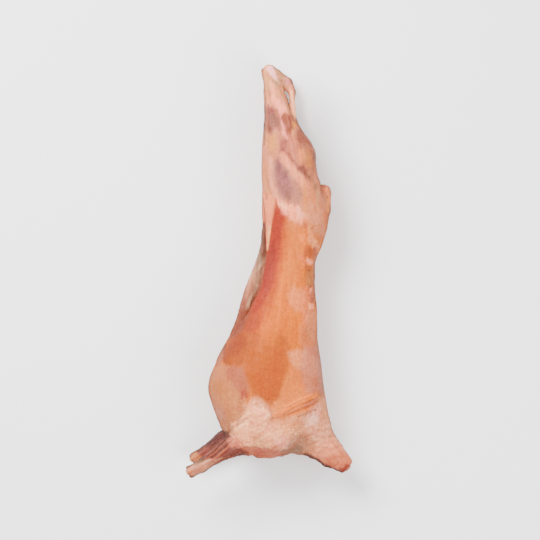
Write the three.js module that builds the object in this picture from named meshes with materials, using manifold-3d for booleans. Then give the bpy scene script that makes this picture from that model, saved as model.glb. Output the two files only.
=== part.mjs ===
// A whole dressed mutton carcass that lies on its left side, right side up.
// Millimetres. X runs from the belly to the back, Y from the neck to the hocks, Z up from the resting face.
// The flesh is a distance field of bodies lofted along Y and round cones, blended together, less the cavity.
// The field becomes a closed mesh, is thinned to fewer triangles, and is bored for the bones at the cut ends.
import * as THREE from "three";
import { mergeVertices } from "three/addons/utils/BufferGeometryUtils.js";
import Module from "manifold-3d";

// Driving dimensions
const MID = 108; // height of the carcass's middle plane above what it rests on
const CELL = 4.5; // grid step of the field
const GRID = { x: 225, y: 530, below: 20, above: 236 }; // reach of the field's grid from the origin
const SMOOTHING_ROUNDS = 4;
const SMOOTH_IN = 0.5;
const SMOOTH_OUT = -0.53;
const FLESH_TRIANGLES = 9600;
const SOCKET_GAP = 0.3; // clear space between a bone and the flesh round it
const SHORTEST_EDGE = 0.02;
const BONE_SIDES = 12;
const OVAL_POWER = 2.25; // squareness of the trunk's and legs' sections, an ellipse being 2
const FLAP_EDGE = 8; // rounding of the cut edges of the belly

// How wide the soft joins between bodies are.
const JOIN = { trunk: 24, leg: 16, hock: 14, tail: 12, shank: 10, cones: 8, thin: 4 };

// The furrow along the spine: the x over which it deepens, and the y over which it sets in and fades out.
const SPINE = { depth: 4, width: 15, x: [60, 100], y: [-330, -250], fade: [120, 180] };

// Sections of the trunk and of the hollow inside it: y, belly x, back x, half width, and how much wider
// the section is towards the back than towards the belly.
const TRUNK = [
  { y: 222, belly: 40, back: 112, half: 30, lean: 0 },
  { y: 190, belly: 0, back: 142, half: 66, lean: 0 },
  { y: 150, belly: -21, back: 151, half: 88, lean: 0.05 },
  { y: 105, belly: -28, back: 145, half: 88, lean: 0.12 },
  { y: 60, belly: -38, back: 131, half: 80, lean: 0.2 },
  { y: 15, belly: -55, back: 115, half: 76, lean: 0.22 },
  { y: -45, belly: -76, back: 114, half: 80, lean: 0.2 },
  { y: -105, belly: -84, back: 118, half: 88, lean: 0.14 },
  { y: -165, belly: -103, back: 119, half: 96, lean: 0.06 },
  { y: -225, belly: -134, back: 129, half: 103, lean: 0 },
  { y: -285, belly: -151, back: 135, half: 107, lean: -0.08 },
  { y: -345, belly: -137, back: 141, half: 103, lean: -0.12 },
  { y: -390, belly: -112, back: 143, half: 88, lean: -0.12 },
  { y: -430, belly: -80, back: 124, half: 66, lean: -0.1 },
  { y: -458, belly: -40, back: 80, half: 30, lean: 0 },
];
const CAVITY = [
  { y: 192, belly: 20, back: 66, half: 16, lean: 0 },
  { y: 150, belly: -10, back: 84, half: 40, lean: 0 },
  { y: 105, belly: -20, back: 86, half: 62, lean: 0.05 },
  { y: 60, belly: -28, back: 78, half: 68, lean: 0.3 },
  { y: 15, belly: -38, back: 68, half: 68, lean: 0.34 },
  { y: -45, belly: -52, back: 66, half: 72, lean: 0.32 },
  { y: -105, belly: -56, back: 70, half: 76, lean: 0.24 },
  { y: -165, belly: -66, back: 74, half: 80, lean: 0.12 },
  { y: -225, belly: -96, back: 80, half: 84, lean: 0 },
  { y: -285, belly: -124, back: 82, half: 84, lean: -0.1 },
  { y: -345, belly: -106, back: 84, half: 70, lean: -0.12 },
  { y: -385, belly: -76, back: 84, half: 50, lean: -0.1 },
  { y: -415, belly: -20, back: 70, half: 18, lean: 0 },
];
const THINNEST_WALL = 13;

// The opening of the belly at each y: half its width at the middle plane, and how far forward the right and
// the left flap reach.
const BELLY_CUT = [
  { y: 192, mouth: -16, right: -40, left: -60 },
  { y: 175, mouth: 8, right: -18, left: -50 },
  { y: 150, mouth: 22, right: -14, left: -40 },
  { y: 110, mouth: 30, right: -11, left: -40 },
  { y: 50, mouth: 33, right: -10, left: -60 },
  { y: 20, mouth: 34, right: -14, left: -70 },
  { y: -20, mouth: 34, right: -20, left: -85 },
  { y: -50, mouth: 31, right: -28, left: -95 },
  { y: -75, mouth: 25, right: -40, left: -105 },
  { y: -120, mouth: 15, right: -63, left: -125 },
  { y: -150, mouth: 7, right: -84, left: -140 },
  { y: -175, mouth: -8, right: -112, left: -160 },
  { y: -200, mouth: -40, right: -300, left: -300 },
];
const CUT_STEP = 14; // half the width over which the cut goes from the left flap's edge to the right flap's

// Sections of a hind leg, from the hock to the rump: y, front x, rear x, distance from the middle plane.
const HIND_LEG = [
  { y: 447, belly: -11, back: 31, half: 17, off: 75 },
  { y: 425, belly: -12, back: 42, half: 20, off: 75 },
  { y: 395, belly: -14, back: 53, half: 24, off: 73 },
  { y: 365, belly: -15, back: 70, half: 29, off: 72 },
  { y: 345, belly: -17, back: 82, half: 34, off: 71 },
  { y: 315, belly: -20, back: 104, half: 41, off: 68 },
  { y: 290, belly: -21, back: 114, half: 46, off: 65 },
  { y: 262, belly: -21, back: 114, half: 49, off: 62 },
  { y: 235, belly: -21, back: 119, half: 52, off: 60 },
  { y: 200, belly: -19, back: 127, half: 54, off: 57 },
  { y: 160, belly: -19, back: 136, half: 53, off: 52 },
  { y: 120, belly: -12, back: 134, half: 48, off: 46 },
  { y: 75, belly: 12, back: 112, half: 32, off: 40 },
];

// Round cones: two ends, each a point and a radius. Their z counts from the middle plane.
const HOCK = [
  [-6, 502, 76, 15, 4, 450, 75, 19],
  [4, 450, 75, 19, 12, 405, 74, 22],
  [-3, 501, 76, 13, 44, 467, 76, 11],
  [12, 464, 76, 15, 44, 467, 76, 11],
];
const HEEL_TENDON = [
  [45, 467, 76, 11, 56, 445, 75, 8],
  [56, 445, 75, 7, 57, 408, 74, 6],
  [57, 408, 74, 6, 60, 366, 72, 9],
];
const TAIL = [[126, 156, 0, 24, 136, 198, 0, 16]];
const NECK = [
  [90, -392, 0, 57, 123, -432, 0, 42],
  [123, -432, 0, 42, 152, -459, 0, 34],
  [152, -459, 0, 34, 189, -488, 0, 22],
];
const SHOULDER = [
  [84, -312, 62, 30, 20, -410, 66, 42],
  [20, -410, 66, 42, -50, -412, 62, 46],
  [40, -360, 74, 28, -50, -378, 70, 30],
];
const BRISKET = [[-96, -300, 0, 50, -76, -392, 0, 42]];
const FORE_SHANK_RIGHT = [
  [-66, -424, 62, 38, -99, -441, 62, 27],
  [-99, -441, 62, 27, -140, -465, 61, 19],
  [-140, -465, 61, 19, -168, -488, 60, 15],
  [-168, -488, 60, 15, -203, -505, 57, 16],
];
const FORE_SHANK_LEFT = [
  [-76, -410, -62, 34, -115, -428, -64, 26],
  [-115, -428, -64, 26, -153, -452, -68, 18],
  [-153, -452, -68, 17, -196, -475, -73, 14],
];

// The ends where a leg or the neck was cut off, each with its bone: the middle of the cut face, the way it
// faces, the radii of the shaft and of the knuckle, which stands a little proud, and the length in the flesh.
const HOCK_BONE = { shaft: 7, knuckle: 10, length: 60 };
const FORE_BONE = { shaft: 6.5, length: 50 };
const CUT_ENDS = {
  hock_bone_right: { at: [-8, 508, MID + 76], out: [-0.45, 0.89, 0.02], ...HOCK_BONE },
  hock_bone_left: { at: [-8, 508, MID - 76], out: [-0.45, 0.89, -0.02], ...HOCK_BONE },
  fore_bone_right: { at: [-206, -505, MID + 57], out: [-0.9, -0.43, -0.07], ...FORE_BONE, knuckle: 10 },
  fore_bone_left: { at: [-199, -476, MID - 73], out: [-0.88, -0.47, -0.1], ...FORE_BONE, knuckle: 9 },
  neck_bone: { at: [195, -495, MID], out: [0.77, -0.64, 0], shaft: 11, knuckle: 13, length: 60 },
};
const CUT_RIM = 6; // rounding of a cut face's rim

const COLOURS = { flesh: 0xd9987c, bone: 0xe8cfc0 };

const { smoothstep } = THREE.MathUtils;

// The smaller of two distances, with a rounded join of width k between the two surfaces.
function softMin(a, b, k) {
  const h = Math.max(k - Math.abs(a - b), 0) / k;
  return Math.min(a, b) - (h * h * k) / 4;
}

const softMax = (a, b, k) => -softMin(-a, -b, k);

// A value from a list of stations at a y, by a curve that goes through all of them and never overshoots.
function along(stations, y, key) {
  const last = stations.length - 1;
  if (y >= stations[0].y) return stations[0][key];
  if (y <= stations[last].y) return stations[last][key];
  let i = 0;
  while (stations[i + 1].y > y) i++;
  const slope = (j) => (stations[j + 1][key] - stations[j][key]) / (stations[j + 1].y - stations[j].y);
  const tangent = (j) => {
    if (j === 0 || j === last) return slope(Math.min(j, last - 1));
    const [before, after] = [slope(j - 1), slope(j)];
    return before * after <= 0 ? 0 : (2 * before * after) / (before + after);
  };
  const span = stations[i + 1].y - stations[i].y;
  const t = (y - stations[i].y) / span;
  const [t2, t3] = [t * t, t * t * t];
  return (
    stations[i][key] * (2 * t3 - 3 * t2 + 1) +
    tangent(i) * span * (t3 - 2 * t2 + t) +
    stations[i + 1][key] * (3 * t2 - 2 * t3) +
    tangent(i + 1) * span * (t3 - t2)
  );
}

// The field of a body lofted along Y, at one y: oval sections, rounded off past the first and last station.
function loftSlice(stations, y) {
  const [top, bottom] = [stations[0].y, stations[stations.length - 1].y];
  const past = Math.max(y - top, bottom - y, 0);
  const [belly, back, half] = ["belly", "back", "half"].map((key) => along(stations, y, key));
  const lean = stations[0].lean === undefined ? 0 : along(stations, y, "lean");
  const off = stations[0].off === undefined ? 0 : along(stations, y, "off");
  const [middle, depth] = [(belly + back) / 2, (back - belly) / 2];
  return (x, z) => {
    const across = (x - middle) / depth;
    const width = half * (1 + lean * Math.max(-1, Math.min(1, across)));
    const [u, v] = [Math.abs(across), Math.abs(z - off) / width];
    const size = (u ** OVAL_POWER + v ** OVAL_POWER) ** (1 / OVAL_POWER);
    const radius = Math.hypot(x - middle, z - off);
    const d = size < 1e-6 ? -Math.min(depth, half) : radius - radius / size;
    return past > 0 ? Math.hypot(Math.max(d, 0), past) + Math.min(d, 0) * 0.2 : d;
  };
}

// The distance to a round cone given as [x, y, z, radius, x, y, z, radius].
function coneDistance([ax, ay, az, ra, bx, by, bz, rb], x, y, z) {
  const [dx, dy, dz] = [bx - ax, by - ay, bz - az];
  const [px, py, pz] = [x - ax, y - ay, z - az];
  const length2 = dx * dx + dy * dy + dz * dz;
  const t = Math.max(0, Math.min(1, (px * dx + py * dy + pz * dz) / length2));
  return Math.hypot(px - dx * t, py - dy * t, pz - dz * t) - (ra + (rb - ra) * t);
}

const conesDistance = (cones, x, y, z, k) =>
  cones.reduce((d, cone) => softMin(d, coneDistance(cone, x, y, z), k), Infinity);

// How far a point lies beyond the plane of a cut face. The z is the distance from the middle plane.
function beyondCut({ at, out }, x, y, z) {
  return ((x - at[0]) * out[0] + (y - at[1]) * out[1] + (z - at[2] + MID) * out[2]) / Math.hypot(...out);
}

// Cones that stop at the cut face of the given end.
const cutConesDistance = (cones, end, x, y, z, k) =>
  softMax(conesDistance(cones, x, y, z, k), beyondCut(CUT_ENDS[end], x, y, z), CUT_RIM);

// The flesh's field at one y, as a function of x and of z from the middle plane. Negative is inside.
function fleshSlice(y) {
  const trunk = loftSlice(TRUNK, y);
  const cavity = loftSlice(CAVITY, y);
  const leg = loftSlice(HIND_LEG, y);
  const [mouth, cutRight, cutLeft] = ["mouth", "right", "left"].map((key) => along(BELLY_CUT, y, key));
  const middle = (along(CAVITY, y, "belly") + along(CAVITY, y, "back")) / 2;
  const spineEnds = smoothstep(y, ...SPINE.y) * (1 - smoothstep(y, ...SPINE.fade));
  const spine = SPINE.depth * spineEnds;
  return (x, z) => {
    const side = Math.abs(z);
    let d = trunk(x, z);
    d += spine * Math.exp(-((z / SPINE.width) ** 2)) * smoothstep(x, ...SPINE.x);
    d = softMin(d, cutConesDistance(NECK, "neck_bone", x, y, z, JOIN.cones), JOIN.trunk);
    d = softMin(d, conesDistance(TAIL, x, y, z, JOIN.cones), JOIN.tail);
    d = softMin(d, conesDistance(BRISKET, x, y, z, JOIN.cones), JOIN.trunk);
    d = softMin(d, conesDistance(SHOULDER, x, y, side, JOIN.trunk), JOIN.trunk);
    d = softMin(d, cutConesDistance(FORE_SHANK_RIGHT, "fore_bone_right", x, y, z, JOIN.thin), JOIN.shank);
    d = softMin(d, cutConesDistance(FORE_SHANK_LEFT, "fore_bone_left", x, y, z, JOIN.thin), JOIN.shank);
    let limb = leg(x, side);
    limb = softMin(limb, cutConesDistance(HOCK, "hock_bone_right", x, y, side, JOIN.thin), JOIN.hock);
    limb = softMin(limb, conesDistance(HEEL_TENDON, x, y, side, JOIN.thin), JOIN.thin);
    d = softMin(d, limb, JOIN.leg);
    const hollow = Math.max(cavity(x, z), trunk(x, z) + THINNEST_WALL);
    d = softMax(d, -hollow, FLAP_EDGE);
    const cut = Math.max(side - mouth, x - middle);
    d = softMax(d, -cut, FLAP_EDGE);
    const share = smoothstep(z, -CUT_STEP, CUT_STEP);
    d = softMax(d, cutLeft + (cutRight - cutLeft) * share - x, FLAP_EDGE);
    return d;
  };
}

// A grid cell's corners are numbered by three bits, one for each axis, and an edge by its corners.
const CORNERS = Array.from({ length: 8 }, (_, c) => [c & 1, (c >> 1) & 1, (c >> 2) & 1]);
const EDGES = CORNERS.flatMap((_, a) => [1, 2, 4].filter((bit) => !(a & bit)).map((bit) => [a, a | bit]));
const edgeBetween = (a, b) => EDGES.findIndex(([p, q]) => (p === a && q === b) || (p === b && q === a));
const EDGE_FROM = CORNERS.map((_, a) => [1, 2, 4].map((bit) => edgeBetween(a, a | bit)));
const FACES = [[1, 2, 4], [2, 4, 1], [4, 1, 2]].flatMap(([u, v, side]) =>
  [0, side].map((base) => {
    const ring = [base, base | u, base | u | v, base | v];
    const edges = ring.map((c, n) => edgeBetween(c, ring[(n + 1) % 4]));
    return ring.map((corner, n) => ({ corner, before: edges[(n + 3) % 4], after: edges[n] }));
  }),
);

// The crossed edges of a cell, grouped into the separate sheets of surface that pass through it.
function sheetsIn(values) {
  const crossed = EDGES.map(([a, b]) => values[a] < 0 !== values[b] < 0);
  const group = EDGES.map((_, e) => e);
  const join = (a, b) => {
    const [from, to] = [group[a], group[b]];
    group.forEach((g, e) => (group[e] = g === from ? to : g));
  };
  for (const face of FACES) {
    const cut = face.map(({ after }) => after).filter((e) => crossed[e]);
    if (cut.length === 2) join(cut[0], cut[1]);
    if (cut.length === 4)
      for (const { corner, before, after } of face) if (values[corner] < 0) join(before, after);
  }
  const found = new Map();
  crossed.forEach((isCrossed, e) => {
    if (isCrossed) found.set(group[e], [...(found.get(group[e]) ?? []), e]);
  });
  return [...found.values()];
}

// The surface of a sampled field as shared vertices and triangles, one vertex for each sheet in each cell.
function polygonise(slice, box, cell) {
  const size = box.getSize(new THREE.Vector3());
  const [nx, ny, nz] = [size.x, size.y, size.z].map((s) => Math.ceil(s / cell) + 1);
  const field = new Float32Array(nx * ny * nz);
  const at = (i, j, k) => i + nx * (k + nz * j);
  for (let j = 0; j < ny; j++) {
    const inSlice = slice(box.min.y + j * cell);
    for (let k = 0; k < nz; k++) {
      const z = box.min.z + k * cell - MID;
      for (let i = 0; i < nx; i++) field[at(i, j, k)] = inSlice(box.min.x + i * cell, z);
    }
  }
  const vertexOf = new Map();
  const positions = [];
  for (let j = 0; j < ny - 1; j++)
    for (let k = 0; k < nz - 1; k++)
      for (let i = 0; i < nx - 1; i++) {
        const inside = CORNERS.reduce((sum, [a, b, c]) => sum + (field[at(i + a, j + b, k + c)] < 0), 0);
        if (inside === 0 || inside === 8) continue;
        const values = CORNERS.map(([a, b, c]) => field[at(i + a, j + b, k + c)]);
        for (const sheet of sheetsIn(values)) {
          const middle = [0, 0, 0];
          for (const e of sheet) {
            const [a, b] = EDGES[e];
            const t = values[a] / (values[a] - values[b]);
            middle.forEach((_, n) => {
              middle[n] += (CORNERS[a][n] + (CORNERS[b][n] - CORNERS[a][n]) * t) / sheet.length;
            });
            vertexOf.set(at(i, j, k) * EDGES.length + e, positions.length / 3);
          }
          const corner = [i, j, k];
          box.min.toArray().forEach((low, n) => positions.push(low + (corner[n] + middle[n]) * cell));
        }
      }
  // Round each crossed grid edge the four cells that share it give a square.
  const triangles = [];
  const around = [
    [[0, 1, 1], [0, 0, 1], [0, 0, 0], [0, 1, 0]],
    [[1, 0, 1], [1, 0, 0], [0, 0, 0], [0, 0, 1]],
    [[1, 1, 0], [0, 1, 0], [0, 0, 0], [1, 0, 0]],
  ];
  for (let j = 1; j < ny - 1; j++)
    for (let k = 1; k < nz - 1; k++)
      for (let i = 1; i < nx - 1; i++)
        around.forEach((cells, axis) => {
          const inside = field[at(i, j, k)] < 0;
          const next = [i, j, k].map((s, n) => s + (n === axis ? 1 : 0));
          if (inside === field[at(...next)] < 0) return;
          const [a, b, c, d] = cells.map(([di, dj, dk]) => {
            const edge = EDGE_FROM[di + 2 * dj + 4 * dk][axis];
            return vertexOf.get(at(i - di, j - dj, k - dk) * EDGES.length + edge);
          });
          triangles.push(...(inside ? [a, b, c, a, c, d] : [a, c, b, a, d, c]));
        });
  return { positions, triangles };
}

// The surface with the grid's steps smoothed out. Each round draws the vertices in, then back out, so that
// the body keeps its size.
function smooth({ positions, triangles }) {
  const rings = Array.from({ length: positions.length / 3 }, () => new Set());
  triangles.forEach((a, n) => {
    const b = triangles[n % 3 === 2 ? n - 2 : n + 1];
    rings[a].add(b);
    rings[b].add(a);
  });
  for (let round = 0; round < SMOOTHING_ROUNDS; round++)
    for (const pull of [SMOOTH_IN, SMOOTH_OUT]) {
      const before = positions.slice();
      rings.forEach((ring, v) => {
        for (let n = 0; n < 3; n++) {
          let sum = 0;
          for (const w of ring) sum += before[3 * w + n];
          positions[3 * v + n] += pull * (sum / ring.size - before[3 * v + n]);
        }
      });
    }
  return { positions, triangles };
}

// What keeps the thinned mesh well shaped: the price of a long edge, how near to flat a corner may be before
// no best point is sought, the least cosine between a face's old and new direction, and a face's least size.
const LENGTH_PRICE = 1e-3;
const FLAT_ENOUGH = 1e-6;
const LEAST_COSINE = 0.25;
const LEAST_FACE = 0.5;

// Fewer triangles: the edge whose loss moves the surface least is drawn together, again and again.
function thin({ positions, triangles }, wanted) {
  const count = positions.length / 3;
  const point = (v) => [positions[3 * v], positions[3 * v + 1], positions[3 * v + 2]];
  const faces = [];
  for (let i = 0; i < triangles.length; i += 3) faces.push(triangles.slice(i, i + 3));
  const facesOf = Array.from({ length: count }, () => new Set());
  const quadrics = new Float64Array(count * 10);
  const normalOf = ([p, q, r]) => {
    const [ux, uy, uz] = [q[0] - p[0], q[1] - p[1], q[2] - p[2]];
    const [vx, vy, vz] = [r[0] - p[0], r[1] - p[1], r[2] - p[2]];
    return [uy * vz - uz * vy, uz * vx - ux * vz, ux * vy - uy * vx];
  };
  faces.forEach((face, f) => {
    const n = normalOf(face.map(point));
    const area = Math.hypot(...n) || 1e-12;
    const [a, b, c] = n.map((s) => s / area);
    const p = point(face[0]);
    const d = -(a * p[0] + b * p[1] + c * p[2]);
    const terms = [a * a, a * b, a * c, a * d, b * b, b * c, b * d, c * c, c * d, d * d];
    for (const v of face) {
      facesOf[v].add(f);
      terms.forEach((term, i) => (quadrics[v * 10 + i] += term * area));
    }
  });
  const neighbours = (v) => {
    const found = new Set();
    for (const f of facesOf[v]) for (const w of faces[f]) if (w !== v) found.add(w);
    return found;
  };
  const cost = (q, [x, y, z]) =>
    q[0] * x * x + 2 * q[1] * x * y + 2 * q[2] * x * z + 2 * q[3] * x + q[4] * y * y +
    2 * q[5] * y * z + 2 * q[6] * y + q[7] * z * z + 2 * q[8] * z + q[9];
  const plan = (a, b) => {
    const q = Array.from({ length: 10 }, (_, n) => quadrics[a * 10 + n] + quadrics[b * 10 + n]);
    const [p, r] = [point(a), point(b)];
    const middle = p.map((s, n) => (s + r[n]) / 2);
    const choices = [p, r, middle];
    const m = new THREE.Matrix3().set(q[0], q[1], q[2], q[1], q[4], q[5], q[2], q[5], q[7]);
    if (Math.abs(m.determinant()) > FLAT_ENOUGH * (q[0] + q[4] + q[7]) ** 3) {
      const best = new THREE.Vector3(-q[3], -q[6], -q[8]).applyMatrix3(m.invert());
      if (best.distanceTo(new THREE.Vector3(...middle)) < 2 * Math.hypot(...p.map((s, n) => s - r[n])))
        choices.push(best.toArray());
    }
    const length2 = p.reduce((s, c, n) => s + (c - r[n]) ** 2, 0);
    const priced = choices.map((to) => ({ to, price: cost(q, to) + LENGTH_PRICE * length2 * length2 }));
    return priced.reduce((least, c) => (c.price < least.price ? c : least));
  };
  // A heap of edges, cheapest first; an entry is stale once either end has changed since it was priced.
  const stamp = new Uint32Array(count);
  const heap = [];
  const swap = (i, j) => ([heap[i], heap[j]] = [heap[j], heap[i]]);
  const push = (entry) => {
    let i = heap.push(entry) - 1;
    while (i > 0 && heap[(i - 1) >> 1].price > heap[i].price) {
      swap(i, (i - 1) >> 1);
      i = (i - 1) >> 1;
    }
  };
  const pop = () => {
    swap(0, heap.length - 1);
    const entry = heap.pop();
    for (let i = 0; ; ) {
      let least = i;
      for (const child of [2 * i + 1, 2 * i + 2])
        if (child < heap.length && heap[child].price < heap[least].price) least = child;
      if (least === i) return entry;
      swap(i, least);
      i = least;
    }
  };
  const offer = (a, b) => push({ a, b, marks: [stamp[a], stamp[b]], ...plan(a, b) });
  for (let v = 0; v < count; v++) for (const w of neighbours(v)) if (v < w) offer(v, w);
  // A face must keep its direction and may not become a sliver when one of its corners moves.
  const keepsShape = (v, other, to) =>
    [...facesOf[v]].every((f) => {
      if (faces[f].includes(other)) return true;
      const before = normalOf(faces[f].map(point));
      const after = normalOf(faces[f].map((w) => (w === v ? to : point(w))));
      const dot = before.reduce((s, c, n) => s + c * after[n], 0);
      const size = Math.hypot(...after);
      return dot > LEAST_COSINE * Math.hypot(...before) * size && size > LEAST_FACE;
    });
  let left = faces.length;
  while (left > wanted && heap.length) {
    const { a, b, marks, to } = pop();
    if (marks[0] !== stamp[a] || marks[1] !== stamp[b]) continue;
    const ring = neighbours(a);
    const shared = [...neighbours(b)].filter((w) => ring.has(w));
    if (shared.length !== 2 || !keepsShape(a, b, to) || !keepsShape(b, a, to)) continue;
    for (let n = 0; n < 3; n++) positions[3 * a + n] = to[n];
    for (let n = 0; n < 10; n++) quadrics[a * 10 + n] += quadrics[b * 10 + n];
    for (const f of [...facesOf[b]]) {
      if (faces[f].includes(a)) {
        for (const w of faces[f]) facesOf[w].delete(f);
        faces[f] = null;
        left--;
      } else {
        faces[f] = faces[f].map((w) => (w === b ? a : w));
        facesOf[a].add(f);
      }
    }
    facesOf[b].clear();
    stamp[a]++;
    stamp[b]++;
    for (const w of neighbours(a)) offer(a, w);
  }
  return { positions, triangles: faces.filter(Boolean).flat() };
}

const wasm = await Module();
wasm.setup();

function geometryOf({ positions, triangles }) {
  return new THREE.BufferGeometry()
    .setAttribute("position", new THREE.Float32BufferAttribute(positions, 3))
    .setIndex(triangles);
}

function solidOf(geometry) {
  const bare = new THREE.BufferGeometry().setAttribute("position", geometry.getAttribute("position"));
  const merged = mergeVertices(bare.setIndex(geometry.getIndex()), 1e-3);
  return new wasm.Manifold(
    new wasm.Mesh({
      numProp: 3,
      vertProperties: new Float32Array(merged.getAttribute("position").array),
      triVerts: new Uint32Array(merged.getIndex().array),
    }),
  );
}

// A solid's surface, with the ends of any edge too short to keep drawn into one vertex.
function geometryOfSolid(solid) {
  const { vertProperties: points, triVerts } = solid.getMesh();
  const kept = Array.from({ length: points.length / 3 }, (_, v) => v);
  const keptAs = (v) => (kept[v] === v ? v : keptAs(kept[v]));
  const length = (a, b) => Math.hypot(...[0, 1, 2].map((n) => points[3 * a + n] - points[3 * b + n]));
  triVerts.forEach((a, n) => {
    const b = triVerts[n % 3 === 2 ? n - 2 : n + 1];
    if (length(a, b) < SHORTEST_EDGE) kept[keptAs(a)] = keptAs(b);
  });
  const triangles = [];
  for (let n = 0; n < triVerts.length; n += 3) {
    const [a, b, c] = [0, 1, 2].map((m) => keptAs(triVerts[n + m]));
    if (a !== b && b !== c && c !== a) triangles.push(a, b, c);
  }
  return new THREE.BufferGeometry()
    .setAttribute("position", new THREE.BufferAttribute(points, 3))
    .setIndex(triangles);
}

// A bone from its hidden end to the rounded knuckle at the cut, grown by a margin all round.
function boneGeometry({ at, out, shaft, knuckle, length }, margin) {
  const profile = new THREE.SplineCurve([
    new THREE.Vector2(shaft * 0.7 + margin, -length - margin),
    new THREE.Vector2(shaft + margin, -length * 0.9),
    new THREE.Vector2(shaft + margin, -knuckle * 2.4),
    new THREE.Vector2(knuckle + margin, -knuckle * 0.8),
    new THREE.Vector2(knuckle * 0.95 + margin, -knuckle * 0.2),
    new THREE.Vector2(knuckle * 0.6 + margin, knuckle * 0.22 + margin),
  ]).getPoints(9);
  const ends = [new THREE.Vector2(0, profile[0].y), new THREE.Vector2(0, knuckle * 0.34 + margin)];
  const turned = new THREE.LatheGeometry([ends[0], ...profile, ends[1]], BONE_SIDES);
  const direction = new THREE.Vector3(...out).normalize();
  turned.applyQuaternion(new THREE.Quaternion().setFromUnitVectors(new THREE.Vector3(0, 1, 0), direction));
  return turned.translate(...at);
}

function fleshGeometry() {
  const lowest = new THREE.Vector3(-GRID.x, -GRID.y, -GRID.below);
  const box = new THREE.Box3(lowest, new THREE.Vector3(GRID.x, GRID.y, GRID.above));
  let flesh = solidOf(geometryOf(thin(smooth(polygonise(fleshSlice, box, CELL)), FLESH_TRIANGLES)));
  const floor = new THREE.BoxGeometry(3 * GRID.x, 3 * GRID.y, 2 * GRID.below).translate(0, 0, -GRID.below);
  flesh = flesh.subtract(solidOf(floor));
  for (const bone of Object.values(CUT_ENDS)) flesh = flesh.subtract(solidOf(boneGeometry(bone, SOCKET_GAP)));
  const largest = flesh.decompose().sort((a, b) => b.volume() - a.volume())[0];
  return geometryOfSolid(largest);
}

function meshNamed(name, geometry, colour) {
  const mesh = new THREE.Mesh(
    geometry,
    new THREE.MeshStandardMaterial({ color: colour, roughness: 0.5, metalness: 0 }),
  );
  mesh.name = name;
  return mesh;
}

const carcass = new THREE.Group();
carcass.add(meshNamed("flesh", fleshGeometry(), COLOURS.flesh));
for (const [name, bone] of Object.entries(CUT_ENDS))
  carcass.add(meshNamed(name, geometryOfSolid(solidOf(boneGeometry(bone, 0))), COLOURS.bone));

export default carcass;
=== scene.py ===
import math

import bpy
import numpy as np
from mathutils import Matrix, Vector, noise
from mathutils.bvhtree import BVHTree


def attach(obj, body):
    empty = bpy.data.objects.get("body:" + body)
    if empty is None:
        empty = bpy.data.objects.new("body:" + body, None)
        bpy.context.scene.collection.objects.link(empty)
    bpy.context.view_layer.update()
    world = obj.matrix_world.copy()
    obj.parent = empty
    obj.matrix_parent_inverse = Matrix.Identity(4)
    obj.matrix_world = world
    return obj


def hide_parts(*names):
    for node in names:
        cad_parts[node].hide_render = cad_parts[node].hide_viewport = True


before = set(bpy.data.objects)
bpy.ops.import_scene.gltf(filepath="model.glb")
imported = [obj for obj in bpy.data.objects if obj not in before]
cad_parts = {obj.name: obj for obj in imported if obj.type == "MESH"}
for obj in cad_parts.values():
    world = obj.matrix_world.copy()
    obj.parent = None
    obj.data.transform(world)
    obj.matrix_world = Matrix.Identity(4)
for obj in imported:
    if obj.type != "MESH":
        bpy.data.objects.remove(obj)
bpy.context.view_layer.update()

# Features are placed in the side view, seen from above: s steps to the right and t steps down, 2.5 mm each,
# with the frame's origin at (270, 270).
STEP = 2.5
ORIGIN = 270
MID = 108  # height of the carcass's middle plane, in mm

# Size of the quads in m, and rounds of smoothing
FLESH_VOXEL, FLESH_ROUNDS = 0.003, 36
BONE_VOXEL, BONE_ROUNDS = 0.0011, 6
PULLS = (0.5, -0.53)  # a round of smoothing shrinks the shape a little and swells it again
WELD_REACH = 1e-5

# The renderer's tone curve greys bright colours. A colour as it should look on the screen is turned into the
# light that gives it: its channels are mixed, bent by a curve in powers 0, 1, 2 and 4, and mixed apart.
SCREEN_MIX = np.array([[0.634, 0.230, 0.137], [0.254, 0.804, -0.058], [0.224, 0.184, 0.592]])
BEND = (-6.563, 11.834, -8.357, 6.373)
LIGHT_MIX = np.array([[2.692, -0.726, -0.965], [-0.471, 1.503, -0.032], [-0.298, -0.246, 1.544]])
LIGHT_LEVEL = 3.3  # light that falls on the carcass
GLOSS = 0.012  # what its shine adds to every channel
DARKEST, PALEST = 0.003, 0.9


def albedo(r, g, b):
    """The surface colour that looks like the given 0 to 255 screen colour under the scene's light."""
    mixed = SCREEN_MIX @ (np.array([r, g, b]) / 255)
    bent = sum(share * mixed**power for share, power in zip(BEND, (0, 1, 2, 4)))
    light = LIGHT_MIX @ 2.0**bent
    return np.clip(light / LIGHT_LEVEL - GLOSS, DARKEST, PALEST)


def smoothstep(low, high, x):
    t = np.clip((x - low) / (high - low), 0, 1)
    return t * t * (3 - 2 * t)


# Meshes

def remeshed(node, name, voxel):
    """A copy of a CAD node's surface as an even mesh of small quads."""
    piece = bpy.data.objects.new(name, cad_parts[node].data.copy())
    bpy.context.scene.collection.objects.link(piece)
    piece.modifiers.new("weld", "WELD").merge_threshold = WELD_REACH
    remesh = piece.modifiers.new("remesh", "REMESH")
    remesh.mode = "VOXEL"
    remesh.voxel_size = voxel
    shape = piece.evaluated_get(bpy.context.evaluated_depsgraph_get())
    mesh = bpy.data.meshes.new_from_object(shape)
    piece.modifiers.clear()
    piece.data = mesh
    mesh.materials.clear()
    mesh.polygons.foreach_set("use_smooth", np.ones(len(mesh.polygons), bool))
    return piece


def points_of(mesh):
    co = np.empty(len(mesh.vertices) * 3, np.float32)
    mesh.vertices.foreach_get("co", co)
    return co.reshape(-1, 3).astype(float) * 1000


def move_points(mesh, points):
    mesh.vertices.foreach_set("co", (points / 1000).astype(np.float32).ravel())
    mesh.update()


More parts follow.
